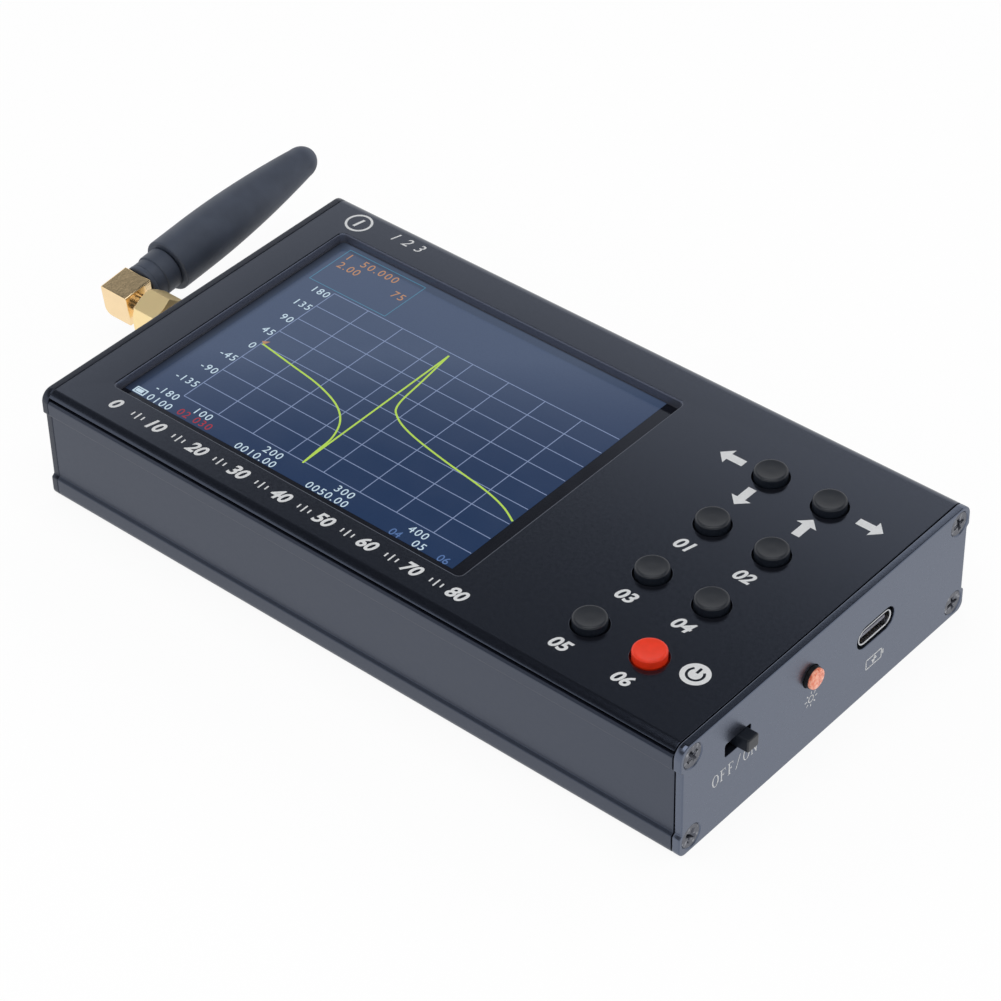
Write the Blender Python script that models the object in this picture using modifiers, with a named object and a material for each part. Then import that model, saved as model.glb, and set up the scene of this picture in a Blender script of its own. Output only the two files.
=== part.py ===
"""Handheld vector network analyzer with a display, eight keys and an elbow stub antenna.

Metres, +Z up. The origin is the centre of the case's underside. The display faces +Z, the
charging socket and the power switch are in the end plate at +X, and the antenna is at -X.
"""

import math

import bmesh
import bpy
from mathutils import Vector

MM = 0.001

# Fits that every piece shares
GAP = 0.3 * MM
THREAD_GAP = 0.25 * MM
OVERRUN = 1.0 * MM
WELD = 0.001 * MM

# Facets round a full circle, from small pieces to the antenna, and round a quarter of one
SMALL_STEPS = 12
COARSE_STEPS = 16
FINE_STEPS = 22
ANTENNA_STEPS = 30
ARC_STEPS = 5

# Height stack inside the case, from the floor up
FLOOR_THICKNESS = 1.8 * MM
BATTERY_THICKNESS = 6.0 * MM
BATTERY_HEADROOM = 1.4 * MM
BOARD_THICKNESS = 1.6 * MM
SPACER_HEIGHT = 2.9 * MM
TRAY_FLOOR = 1.0 * MM
LCD_THICKNESS = 3.0 * MM
LENS_GAP = 0.4 * MM
PANEL_THICKNESS = 1.6 * MM

# Case section across its length
CORNER_RADIUS = 2.2 * MM
BOTTOM_RADIUS = 2.0 * MM
SEAM_DROP = 1.1 * MM
SEAM_SLOPE = 0.08 * MM
LIP_HEIGHT = 4.4 * MM
LIP_SLOPE = 0.5 * MM
LEDGE_HEIGHT = 4.7 * MM
LEDGE_SLOPE = 0.9 * MM
RECESS_DEPTH = 0.6 * MM
RECESS_WALL = 1.2 * MM
LIP_WALL = 0.85 * MM
INNER_STEP = 1.0 * MM
SLOT_RIB_DEPTH = 1.5 * MM
SLOT_RIB_THICKNESS = 1.2 * MM

# End screws, their ports in the extrusions and the end plates
PLATE_THICKNESS = 1.5 * MM
PLATE_CHAMFER = 0.2 * MM
SCREW_SHANK_RADIUS = 1.1 * MM
SCREW_HEAD_RADIUS = 2.2 * MM
SCREW_LENGTH = 8.0 * MM
SCREW_HEAD_SINK = 0.12 * MM
SCREW_POINT = 0.6 * MM
COUNTERSINK_RADIUS = 2.4 * MM
CROSS_REACH = 1.25 * MM
CROSS_WIDTH = 0.5 * MM
CROSS_DEPTH = 0.8 * MM
PORT_WALL = 0.5 * MM
PORT_DROP = 2.75 * MM
PORT_RISE = 2.96 * MM

# Display window, display module and its board
WINDOW_LENGTH = 77.0 * MM
WINDOW_WIDTH = 56.2 * MM
WINDOW_SIDE_MARGIN = 9.9 * MM
WINDOW_CORNER = 1.0 * MM
LCD_SHIFT = 1.4 * MM
LCD_UNDERLAP = 0.3 * MM
TRAY_WALL = 0.8 * MM
DISPLAY_BOARD_EDGE = 3.2 * MM
DISPLAY_SCREW_OUTSET = 0.6 * MM
DISPLAY_HEAD_RADIUS = 2.6 * MM
DISPLAY_HEAD_HEIGHT = 1.7 * MM
DISPLAY_HEAD_ROUNDING = 0.6 * MM
DISPLAY_SHANK_RADIUS = 1.0 * MM
DISPLAY_SHANK_GRIP = 1.6 * MM
DISPLAY_CROSS_REACH = 1.3 * MM
SPACER_RADIUS = 2.5 * MM

# Keys and the switches under them
WINDOW_TO_KEYS = 23.37 * MM
KEY_COLUMN_PITCH = 11.97 * MM
KEYS_TO_END = 17.16 * MM
KEY_ROW_PITCH = 15.58 * MM
KEY_ROW_SHIFT = -0.725 * MM
KEY_ROWS = 4
KEY_RADIUS = 2.9 * MM
KEY_PROUD = 1.5 * MM
KEY_RIM = 0.35 * MM
KEY_DISH = 0.12 * MM
KEY_FLANGE = 0.6 * MM
KEY_FLANGE_THICKNESS = 0.8 * MM
KEY_STEM_RADIUS = 1.7 * MM
KEY_TRAVEL = 0.5 * MM
TACT_SIDE = 6.0 * MM
TACT_HEIGHT = 3.5 * MM
TACT_WELL = 1.2 * MM
TACT_EDGE = 0.4 * MM

# Battery, shield can and processor
BATTERY_LENGTH = 60.0 * MM
BATTERY_WIDTH = 42.0 * MM
BATTERY_ROUNDING = 1.2 * MM
BATTERY_SEAL_LENGTH = 3.0 * MM
BATTERY_SEAL_THICKNESS = 1.0 * MM
SHIELD_LENGTH = 32.0 * MM
SHIELD_WIDTH = 24.0 * MM
SHIELD_HEIGHT = 2.5 * MM
SHIELD_WALL = 0.4 * MM
SHIELD_SETBACK = 7.8 * MM
CHIP_SIDE = 12.0 * MM
CHIP_HEIGHT = 1.4 * MM
CHIP_EDGE = 0.25 * MM
CHIP_STANDOFF = 22.0 * MM

# Charging socket
USB_Y = 12.5 * MM
USB_WIDTH = 8.94 * MM
USB_HEIGHT = 3.26 * MM
USB_WALL = 0.3 * MM
USB_LENGTH = 7.35 * MM
USB_RECESS = 0.2 * MM
USB_OPENING_CLEARANCE = 0.6 * MM
TONGUE_WIDTH = 6.69 * MM
TONGUE_THICKNESS = 0.7 * MM
TONGUE_SETBACK = 0.45 * MM
TONGUE_BASE = 1.6 * MM

# Status light
LED_Y = -4.9 * MM
LED_RISE = 3.9 * MM
LED_RADIUS = 1.75 * MM
LED_DOME = 0.6 * MM
LED_PROUD = 1.4 * MM
LED_LENGTH = 6.9 * MM
SLEEVE_GAP = 0.1 * MM
SLEEVE_WALL = 0.15 * MM
SLEEVE_LENGTH = 6.0 * MM
SLEEVE_SETBACK = 0.1 * MM

# Power switch
SWITCH_Y = -22.7 * MM
SWITCH_RISE = 3.9 * MM
SWITCH_TRAVEL = 2.0 * MM
SWITCH_WALL = 1.2 * MM
SWITCH_DEPTH = 5.2 * MM
SWITCH_SLOT_END = 0.85 * MM
KNOB_WIDTH = 2.8 * MM
KNOB_HEIGHT = 2.55 * MM
KNOB_PROUD = 2.25 * MM
KNOB_CHAMFER = 0.4 * MM
SLIDER_WIDTH = 4.4 * MM
SLIDER_DEPTH = 2.8 * MM

# Antenna socket on the board's edge
SMA_RISE = 0.9 * MM
THREAD_RADIUS = 3.1 * MM
THREAD_ENGAGED = 3.6 * MM
SMA_FLANGE_SIDE = 6.4 * MM
SMA_FLANGE_THICKNESS = 1.6 * MM
SMA_LEG_LENGTH = 4.4 * MM
SMA_LEG_WIDTH = 1.3 * MM
SMA_LEG_THICKNESS = 1.0 * MM
SMA_BORE_RADIUS = 2.1 * MM
INSULATOR_RADIUS = 1.85 * MM
INSULATOR_BORE = 0.9 * MM
INSULATOR_SINK = 0.5 * MM
CONTACT_RADIUS = 0.62 * MM
CONTACT_TAIL = 2.5 * MM
WASHER_RADIUS = 4.6 * MM
WASHER_THICKNESS = 0.5 * MM
PANEL_NUT_FLATS = 8.0 * MM
PANEL_NUT_THICKNESS = 2.0 * MM
PANEL_NUT_CHAMFER = 0.55 * MM

# Elbow plug and its coupling nut
NUT_STANDOFF = 4.2 * MM
COUPLING_FLATS = 8.0 * MM
COUPLING_LENGTH = 6.2 * MM
COUPLING_BACK = 1.2 * MM
COUPLING_CHAMFER = 1.0 * MM
COUPLING_TURN = math.radians(25.4)
NECK_RADIUS = 2.0 * MM
NECK_LENGTH = 2.25 * MM
FERRULE_RADIUS = 2.9 * MM
ELBOW_SIDE = 6.5 * MM
ELBOW_SHIFT = 0.45 * MM
ELBOW_ROUND = 2.75 * MM
ELBOW_EDGE = 0.25 * MM
ELBOW_TILT = math.radians(6.0)
STUB_RADIUS = 2.2 * MM
STUB_LENGTH = 8.35 * MM

# Antenna, along its own axis from the elbow
COLLAR_RADIUS = 3.9 * MM
COLLAR_LENGTH = 3.1 * MM
SHOULDER_RADIUS = 4.15 * MM
SHOULDER_LENGTH = 3.25 * MM
COLLAR_EDGE = 0.2 * MM
SLEEVE_BASE_RADIUS = 5.15 * MM
SLEEVE_BASE_EDGE = 0.35 * MM
SLEEVE_STRAIGHT = 8.0 * MM
SLEEVE_TAPER = 28.0 * MM
SLEEVE_TIP_RADIUS = 3.1 * MM
SLEEVE_TIP_LENGTH = 3.5 * MM
SLEEVE_BORE_END = 8.0 * MM
TAPER_POWER = 1.85
TAPER_RINGS = 7
ELEMENT_TURNS = 8
ELEMENT_TURN_POINTS = 8
ELEMENT_WIRE_RADIUS = 0.35 * MM

# Heights of the layers
BATTERY_BOTTOM = FLOOR_THICKNESS + GAP
BATTERY_TOP = BATTERY_BOTTOM + BATTERY_THICKNESS
BOARD_BOTTOM = BATTERY_TOP + BATTERY_HEADROOM
BOARD_TOP = BOARD_BOTTOM + BOARD_THICKNESS
SPACER_BOTTOM = BOARD_TOP + GAP
SPACER_TOP = SPACER_BOTTOM + SPACER_HEIGHT
DISPLAY_BOARD_BOTTOM = SPACER_TOP + GAP
DISPLAY_BOARD_TOP = DISPLAY_BOARD_BOTTOM + BOARD_THICKNESS
TRAY_BOTTOM = DISPLAY_BOARD_TOP + GAP
LCD_BOTTOM = TRAY_BOTTOM + TRAY_FLOOR + GAP
LCD_TOP = LCD_BOTTOM + LCD_THICKNESS
PANEL_BOTTOM = LCD_TOP + LENS_GAP
CASE_HEIGHT = PANEL_BOTTOM + PANEL_THICKNESS

# Width of the case, which clears the display module and the key rows
PORT_HOLE_RADIUS = SCREW_SHANK_RADIUS + THREAD_GAP
PORT_RADIUS = PORT_HOLE_RADIUS + PORT_WALL
KEY_FLANGE_RADIUS = KEY_RADIUS + GAP + KEY_FLANGE
KEY_SIDE_MARGIN = LIP_WALL + 2 * PORT_RADIUS + KEY_FLANGE_RADIUS + 2 * GAP + abs(KEY_ROW_SHIFT)
CASE_WIDTH = max(
    WINDOW_WIDTH + 2 * WINDOW_SIDE_MARGIN,
    (KEY_ROWS - 1) * KEY_ROW_PITCH + 2 * KEY_SIDE_MARGIN,
)
HALF_WIDTH = CASE_WIDTH / 2

# Length of the case, from what lies along it
BOARD_SETBACK = GAP + SMA_FLANGE_THICKNESS + GAP
TRAY_REACH = TRAY_WALL + GAP
DISPLAY_SCREW_REACH = TRAY_REACH + GAP + DISPLAY_HEAD_RADIUS
WINDOW_TO_END = (
    PLATE_THICKNESS + BOARD_SETBACK + DISPLAY_BOARD_EDGE + DISPLAY_SCREW_REACH - LCD_SHIFT
)
CASE_LENGTH = WINDOW_TO_END + WINDOW_LENGTH + WINDOW_TO_KEYS + KEY_COLUMN_PITCH + KEYS_TO_END
HALF_LENGTH = CASE_LENGTH / 2
PLATE_INNER_X = HALF_LENGTH - PLATE_THICKNESS
SHELL_LENGTH = 2 * (PLATE_INNER_X - GAP)
PLATE_CENTRE_X = HALF_LENGTH - PLATE_THICKNESS / 2

# Places along the case
WINDOW_MIN_X = -HALF_LENGTH + WINDOW_TO_END
WINDOW_MAX_X = WINDOW_MIN_X + WINDOW_LENGTH
KEY_COLUMNS_X = (WINDOW_MAX_X + WINDOW_TO_KEYS, HALF_LENGTH - KEYS_TO_END)
LCD_MIN_X = WINDOW_MIN_X + LCD_SHIFT
LCD_MAX_X = WINDOW_MAX_X + LCD_SHIFT
LCD_HALF_WIDTH = WINDOW_WIDTH / 2 + LCD_UNDERLAP
DISPLAY_SCREWS_X = (LCD_MIN_X - DISPLAY_SCREW_REACH, LCD_MAX_X + DISPLAY_SCREW_REACH)
DISPLAY_SCREW_Y = LCD_HALF_WIDTH + DISPLAY_SCREW_OUTSET
BOARD_MIN_X = -PLATE_INNER_X + BOARD_SETBACK
BOARD_MAX_X = PLATE_INNER_X - GAP
BATTERY_X = (WINDOW_MIN_X + WINDOW_MAX_X) / 2
SHIELD_X = BOARD_MIN_X + SHIELD_SETBACK + SHIELD_LENGTH / 2
CHIP_X = SHIELD_X + SHIELD_LENGTH / 2 + CHIP_STANDOFF + CHIP_SIDE / 2

# Places across the case
PORT_Y = HALF_WIDTH - LIP_WALL - GAP - PORT_RADIUS
UPPER_PORT_Z = CASE_HEIGHT - PORT_DROP
SEAM_Z = CASE_HEIGHT - SEAM_DROP
INNER_Y = HALF_WIDTH - RECESS_DEPTH - RECESS_WALL
BOARD_HALF_WIDTH = INNER_Y - GAP

# Axes of the pieces in the end plates
SMA_Z = BOARD_TOP + SMA_RISE
USB_Z = BOARD_TOP + GAP + USB_HEIGHT / 2
LED_Z = BOARD_TOP + LED_RISE
SWITCH_Z = BOARD_TOP + SWITCH_RISE
WASHER_X = -HALF_LENGTH - GAP - WASHER_THICKNESS
PANEL_NUT_X = WASHER_X - GAP - PANEL_NUT_THICKNESS
COUPLING_OPEN_X = PANEL_NUT_X - NUT_STANDOFF
COUPLING_BACK_X = COUPLING_OPEN_X - COUPLING_LENGTH
BARREL_TIP_X = COUPLING_OPEN_X - THREAD_ENGAGED
ELBOW_X = COUPLING_BACK_X - NECK_LENGTH - ELBOW_SIDE / 2

# Turns that aim a piece's own Z axis
ACROSS_CASE = (math.radians(90), 0, math.radians(90))
TOWARDS_USB = (0, math.radians(90), 0)
TOWARDS_ANTENNA = (0, math.radians(-90), 0)
ALONG_ANTENNA = (math.radians(-90), 0, 0)

BLACK_ANODISED = ((0.035, 0.036, 0.04, 1), 0.42, 0.0)
STEEL = ((0.55, 0.56, 0.58, 1), 0.3, 1.0)
DARK_STEEL = ((0.16, 0.16, 0.17, 1), 0.35, 1.0)
GOLD = ((0.83, 0.62, 0.28, 1), 0.22, 1.0)
BOARD_GREEN = ((0.02, 0.12, 0.06, 1), 0.45, 0.0)
BLACK_PLASTIC = ((0.02, 0.02, 0.022, 1), 0.35, 0.0)
RED_PLASTIC = ((0.85, 0.06, 0.02, 1), 0.4, 0.0)
RUBBER = ((0.02, 0.022, 0.026, 1), 0.6, 0.0)
DISPLAY_BLUE = ((0.03, 0.07, 0.2, 1), 0.08, 0.0)
POUCH = ((0.6, 0.62, 0.64, 1), 0.4, 0.6)
LED_AMBER = ((0.9, 0.38, 0.22, 1), 0.3, 0.0)
WHITE_PLASTIC = ((0.85, 0.85, 0.83, 1), 0.5, 0.0)


def clear_scene():
    for obj in list(bpy.data.objects):
        bpy.data.objects.remove(obj, do_unlink=True)


def new_collection(name):
    collection = bpy.data.collections.new(name)
    bpy.context.scene.collection.children.link(collection)
    return collection


def add_object(name, data, location=(0, 0, 0), rotation=(0, 0, 0)):
    obj = bpy.data.objects.new(name, data)
    obj.location = location
    obj.rotation_euler = rotation
    PARTS.objects.link(obj)
    return obj


def as_cutter(obj):
    """Takes a shape out of the assembly, to be used only by booleans."""
    PARTS.objects.unlink(obj)
    CUTTERS.objects.link(obj)
    obj.hide_render = True
    obj.display_type = "WIRE"
    return obj


def combine(obj, other, operation):
    modifier = obj.modifiers.new(other.name, "BOOLEAN")
    modifier.operation = operation
    modifier.object = as_cutter(other)
    modifier.solver = "EXACT"
    return obj


def cut(obj, other):
    return combine(obj, other, "DIFFERENCE")


def join(obj, other):
    return combine(obj, other, "UNION")


def soften(obj, width, segments=1, angle=math.radians(50)):
    bevel = obj.modifiers.new("edge", "BEVEL")
    bevel.limit_method = "ANGLE"
    bevel.angle_limit = angle
    bevel.width = width
    bevel.segments = segments
    return obj


def evaluated_mesh(obj, merge_flats=False):
    """The mesh that the object's modifiers make, welded into one closed surface."""
    graph = bpy.context.evaluated_depsgraph_get()
    mesh = bpy.data.meshes.new_from_object(obj.evaluated_get(graph))
    body = bmesh.new()
    body.from_mesh(mesh)
    bmesh.ops.remove_doubles(body, verts=body.verts, dist=WELD)
    if merge_flats:
        bmesh.ops.dissolve_limit(
            body, angle_limit=math.radians(1), verts=body.verts, edges=body.edges
        )
    body.to_mesh(mesh)
    body.free()
    return mesh


def extruded(name, outline, depth, location, rotation, holes=()):
    """A flat outline given depth both ways from its own plane, with any holes right through."""
    curve = bpy.data.curves.new(name, "CURVE")
    curve.dimensions = "2D"
    curve.fill_mode = "BOTH"
    curve.extrude = depth / 2
    for points in (outline, *holes):
        spline = curve.splines.new("POLY")
        spline.points.add(len(points) - 1)
        for point, (u, v) in zip(spline.points, points):
            point.co = (u, v, 0, 1)
        spline.use_cyclic_u = True
    guide = add_object(name + "_outline", curve)
    mesh = evaluated_mesh(guide, merge_flats=not holes)
    bpy.data.objects.remove(guide)
    return add_object(name, mesh, location, rotation)


def turned(name, profile, location=(0, 0, 0), rotation=(0, 0, 0), steps=FINE_STEPS, ring=False):
    """A profile of (radius, height) turned about Z: down its outer side, and back up a ring's bore."""
    points = [(radius, 0, height) for radius, height in profile]
    edges = [(i, i + 1) for i in range(len(points) - 1)]
    if ring:
        edges.append((len(points) - 1, 0))
    mesh = bpy.data.meshes.new(name)
    mesh.from_pydata(points, edges, [])
    obj = add_object(name, mesh, location, rotation)
    spin = obj.modifiers.new("turned", "SCREW")
    spin.steps = spin.render_steps = steps
    spin.use_merge_vertices = True
    spin.merge_threshold = WELD
    return obj


def cylinder(name, radius, length, location, rotation=(0, 0, 0), steps=FINE_STEPS):
    """A round bar centred on its location, along its own Z axis."""
    ends = ((0, length / 2), (radius, length / 2), (radius, -length / 2), (0, -length / 2))
    return turned(name, ends, location, rotation, steps)


def box(name, low, high):
    """A box between two corners, with its origin at its centre."""
    low, high = Vector(low), Vector(high)
    body = bmesh.new()
    bmesh.ops.create_cube(body, size=1)
    bmesh.ops.scale(body, vec=high - low, verts=body.verts)
    mesh = bpy.data.meshes.new(name)
    body.to_mesh(mesh)
    body.free()
    return add_object(name, mesh, (low + high) / 2)


def hexagon(flats):
    return circle((0, 0), flats / math.sqrt(3), steps=6)


def arc(centre, radius, start, end, steps=ARC_STEPS):
    """Points along an arc between two angles in degrees, both ends included."""
    angles = [math.radians(start + (end - start) * i / steps) for i in range(steps + 1)]
    return [(centre[0] + radius * math.cos(a), centre[1] + radius * math.sin(a)) for a in angles]


def circle(centre, radius, steps=COARSE_STEPS):
    return arc(centre, radius, 0, 360, steps)[:-1]


def rounded_rectangle(width, height, radius, steps=ARC_STEPS):
    u, v = width / 2 - radius, height / 2 - radius
    points = []
    for centre, start in (((u, v), 0), ((-u, v), 90), ((-u, -v), 180), ((u, -v), 270)):
        points += arc(centre, radius, start, start + 90, steps)
    return points


def mirrored(points):
    """The same points on the other side of the middle plane, in reverse order."""
    return [(-u, v) for u, v in reversed(points)]


def finish(obj, surface, name=None):
    colour, roughness, metallic = surface
    material = bpy.data.materials.new(f"{name or obj.name}_finish")
    material.use_nodes = True
    shader = material.node_tree.nodes["Principled BSDF"]
    shader.inputs["Base Color"].default_value = colour
    shader.inputs["Roughness"].default_value = roughness
    shader.inputs["Metallic"].default_value = metallic
    material.diffuse_color = colour
    obj.data.materials.clear()
    obj.data.materials.append(material)
    return obj


def repeat(pattern, names_and_places, surface, rotation=(0, 0, 0)):
    """Copies of one finished shape, each its own object. The pattern is used up."""
    mesh = evaluated_mesh(pattern)
    bpy.data.objects.remove(pattern)
    copies = []
    for name, place in names_and_places:
        copies.append(add_object(name, mesh.copy(), place, rotation))
        finish(copies[-1], surface)
    return copies


def corner_ports(z_upper, z_lower):
    return [(side * PORT_Y, z) for z in (z_upper, z_lower) for side in (-1, 1)]


def outer_side(top_points):
    """The case's right side from the top corner down to the underside."""
    return [
        *top_points,
        (HALF_WIDTH, CASE_HEIGHT - LIP_HEIGHT),
        (HALF_WIDTH - RECESS_DEPTH, CASE_HEIGHT - LIP_HEIGHT - LIP_SLOPE),
        (HALF_WIDTH - RECESS_DEPTH, LEDGE_HEIGHT + LEDGE_SLOPE),
        (HALF_WIDTH, LEDGE_HEIGHT),
        *arc((HALF_WIDTH - BOTTOM_RADIUS, BOTTOM_RADIUS), BOTTOM_RADIUS, 0, -90),
    ]


def top_corner(start, end):
    return arc((HALF_WIDTH - CORNER_RADIUS, CASE_HEIGHT - CORNER_RADIUS), CORNER_RADIUS, start, end)


def corner_angle(z):
    """The angle on the top corner's arc at a height, in degrees."""
    return math.degrees(math.asin((z - CASE_HEIGHT + CORNER_RADIUS) / CORNER_RADIUS))


def make_top_cover():
    """The upper extrusion: a flat panel whose edges hook over the walls, with two screw ports."""
    port = (PORT_Y, UPPER_PORT_Z)
    half = [
        *top_corner(90, corner_angle(SEAM_Z)),
        (PORT_Y + PORT_RADIUS, SEAM_Z + SEAM_SLOPE),
        *arc(port, PORT_RADIUS, 0, -180, 2 * ARC_STEPS),
        (PORT_Y - PORT_RADIUS, PANEL_BOTTOM),
    ]
    holes = [circle((side * PORT_Y, UPPER_PORT_Z), PORT_HOLE_RADIUS) for side in (-1, 1)]
    cover = extruded(
        "top_cover", half + mirrored(half), SHELL_LENGTH, (0, 0, 0), ACROSS_CASE, holes
    )
    panel_middle = (PANEL_BOTTOM + CASE_HEIGHT) / 2
    through = PANEL_THICKNESS + 2 * OVERRUN
    window = extruded(
        "window_cut",
        rounded_rectangle(WINDOW_LENGTH, WINDOW_WIDTH, WINDOW_CORNER),
        through,
        ((WINDOW_MIN_X + WINDOW_MAX_X) / 2, 0, panel_middle),
        (0, 0, 0),
    )
    cut(cover, window)
    for name, (x, y) in key_places().items():
        hole = cylinder(f"key_hole_{name}", KEY_RADIUS + GAP, through, (x, y, panel_middle))
        cut(cover, hole)
    return finish(cover, BLACK_ANODISED)


def make_base_shell():
    """The lower extrusion: a channel with board slots along its walls and two screw ports."""
    wall_top = SEAM_Z - GAP
    outer = outer_side(top_corner(corner_angle(wall_top), 0))
    port = (PORT_Y, PORT_RISE)
    port_start = 180 + math.degrees(math.asin((PORT_RISE - FLOOR_THICKNESS) / PORT_RADIUS))
    port_end = math.degrees(math.acos((INNER_Y - PORT_Y) / PORT_RADIUS))
    rib_y = INNER_Y - SLOT_RIB_DEPTH
    inner = arc(port, PORT_RADIUS, port_start, port_end, 2 * ARC_STEPS)
    for bottom in (BOARD_BOTTOM - GAP - SLOT_RIB_THICKNESS, BOARD_TOP + GAP):
        top = bottom + SLOT_RIB_THICKNESS
        inner += [(INNER_Y, bottom), (rib_y, bottom), (rib_y, top), (INNER_Y, top)]
    step_z = CASE_HEIGHT - LIP_HEIGHT - LIP_SLOPE - GAP
    inner += [
        (INNER_Y, step_z),
        (HALF_WIDTH - LIP_WALL, step_z + INNER_STEP),
        (HALF_WIDTH - LIP_WALL, wall_top),
    ]
    outline = outer + mirrored(outer) + mirrored(inner) + inner
    holes = [circle((side * PORT_Y, PORT_RISE), PORT_HOLE_RADIUS) for side in (-1, 1)]
    shell = extruded("base_shell", outline, SHELL_LENGTH, (0, 0, 0), ACROSS_CASE, holes)
    return finish(shell, BLACK_ANODISED)


def make_end_plate(name, side):
    """A plate with the case's own outline, and a countersunk hole over each screw port."""
    half = outer_side(top_corner(90, 0))
    plate = extruded(
        name, half + mirrored(half), PLATE_THICKNESS, (side * PLATE_CENTRE_X, 0, 0), ACROSS_CASE
    )
    soften(plate, PLATE_CHAMFER)
    neck = COUNTERSINK_RADIUS - PORT_HOLE_RADIUS
    profile = [
        (0, OVERRUN),
        (COUNTERSINK_RADIUS + OVERRUN, OVERRUN),
        (PORT_HOLE_RADIUS, -neck),
        (PORT_HOLE_RADIUS, -PLATE_THICKNESS - OVERRUN),
        (0, -PLATE_THICKNESS - OVERRUN),
    ]
    aim = TOWARDS_USB if side > 0 else TOWARDS_ANTENNA
    for i, (y, z) in enumerate(corner_ports(UPPER_PORT_Z, PORT_RISE)):
        place = (side * HALF_LENGTH, y, z)
        sink = turned(f"{name}_sink_{i}", profile, place, aim, COARSE_STEPS)
        cut(plate, sink)
    return plate


def make_usb_end_plate():
    plate = make_end_plate("usb_end_plate", 1)
    through = PLATE_THICKNESS + 2 * OVERRUN
    width = USB_WIDTH + 2 * USB_OPENING_CLEARANCE
    height = USB_HEIGHT + 2 * USB_OPENING_CLEARANCE
    socket = extruded(
        "socket_opening",
        rounded_rectangle(width, height, height / 2),
        through,
        (PLATE_CENTRE_X, USB_Y, USB_Z),
        ACROSS_CASE,
    )
    cut(plate, socket)
    light_radius = LED_RADIUS + SLEEVE_GAP + SLEEVE_WALL + GAP
    place = (PLATE_CENTRE_X, LED_Y, LED_Z)
    cut(plate, cylinder("light_hole", light_radius, through, place, TOWARDS_USB))
    slot = box(
        "switch_slot",
        (PLATE_INNER_X - OVERRUN, *switch_slot_corner(-1)),
        (HALF_LENGTH + OVERRUN, *switch_slot_corner(1)),
    )
    cut(plate, slot)
    return finish(plate, BLACK_ANODISED)


def make_antenna_end_plate():
    plate = make_end_plate("antenna_end_plate", -1)
    through = PLATE_THICKNESS + 2 * OVERRUN
    place = (-PLATE_CENTRE_X, 0, SMA_Z)
    cut(plate, cylinder("barrel_hole", THREAD_RADIUS + GAP, through, place, TOWARDS_USB))
    return finish(plate, BLACK_ANODISED)


def cross_recess(screw, top, reach, depth):
    """Cuts a cross into the head of a screw that stands on its own Z axis."""
    for i, (half_x, half_y) in enumerate(((reach, CROSS_WIDTH / 2), (CROSS_WIDTH / 2, reach))):
        arm = box(
            f"{screw.name}_arm_{i}", (-half_x, -half_y, top - depth), (half_x, half_y, top + OVERRUN)
        )
        cut(screw, arm)
    return screw


def make_end_screws():
    """Eight countersunk screws that hold the plates, sunk just below the plates' faces."""
    top = -SCREW_HEAD_SINK
    cone = SCREW_HEAD_RADIUS - SCREW_SHANK_RADIUS
    profile = [
        (0, top),
        (SCREW_HEAD_RADIUS, top),
        (SCREW_SHANK_RADIUS, top - cone),
        (SCREW_SHANK_RADIUS, top - SCREW_LENGTH + SCREW_POINT),
        (SCREW_SHANK_RADIUS - SCREW_POINT, top - SCREW_LENGTH),
        (0, top - SCREW_LENGTH),
    ]
    for side, end, aim in ((1, "usb", TOWARDS_USB), (-1, "antenna", TOWARDS_ANTENNA)):
        screw = turned(f"{end}_screw_pattern", profile, steps=SMALL_STEPS)
        cross_recess(screw, top, CROSS_REACH, CROSS_DEPTH)
        places = [
            (f"{end}_plate_screw_{i}", (side * HALF_LENGTH, y, z))
            for i, (y, z) in enumerate(corner_ports(UPPER_PORT_Z, PORT_RISE), start=1)
        ]
        repeat(screw, places, DARK_STEEL, aim)


def make_boards():
    main = box(
        "main_board",
        (BOARD_MIN_X, -BOARD_HALF_WIDTH, BOARD_BOTTOM),
        (BOARD_MAX_X, BOARD_HALF_WIDTH, BOARD_TOP),
    )
    finish(main, BOARD_GREEN)
    half_width = DISPLAY_SCREW_Y + DISPLAY_BOARD_EDGE
    display = box(
        "display_board",
        (DISPLAY_SCREWS_X[0] - DISPLAY_BOARD_EDGE, -half_width, DISPLAY_BOARD_BOTTOM),
        (DISPLAY_SCREWS_X[1] + DISPLAY_BOARD_EDGE, half_width, DISPLAY_BOARD_TOP),
    )
    middle = (DISPLAY_BOARD_BOTTOM + DISPLAY_BOARD_TOP) / 2
    for name, (x, y) in display_screw_places().items():
        place = (x, y, middle)
        through = BOARD_THICKNESS + 2 * OVERRUN
        radius = DISPLAY_SHANK_RADIUS + GAP
        cut(display, cylinder(f"board_hole_{name}", radius, through, place, steps=SMALL_STEPS))
    finish(display, BOARD_GREEN)


def display_screw_places():
    """The display board's four corners, numbered from the near corner at the antenna end."""
    places = [(x, side * DISPLAY_SCREW_Y) for x in DISPLAY_SCREWS_X for side in (-1, 1)]
    return {str(i): place for i, place in enumerate(places, start=1)}


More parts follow.
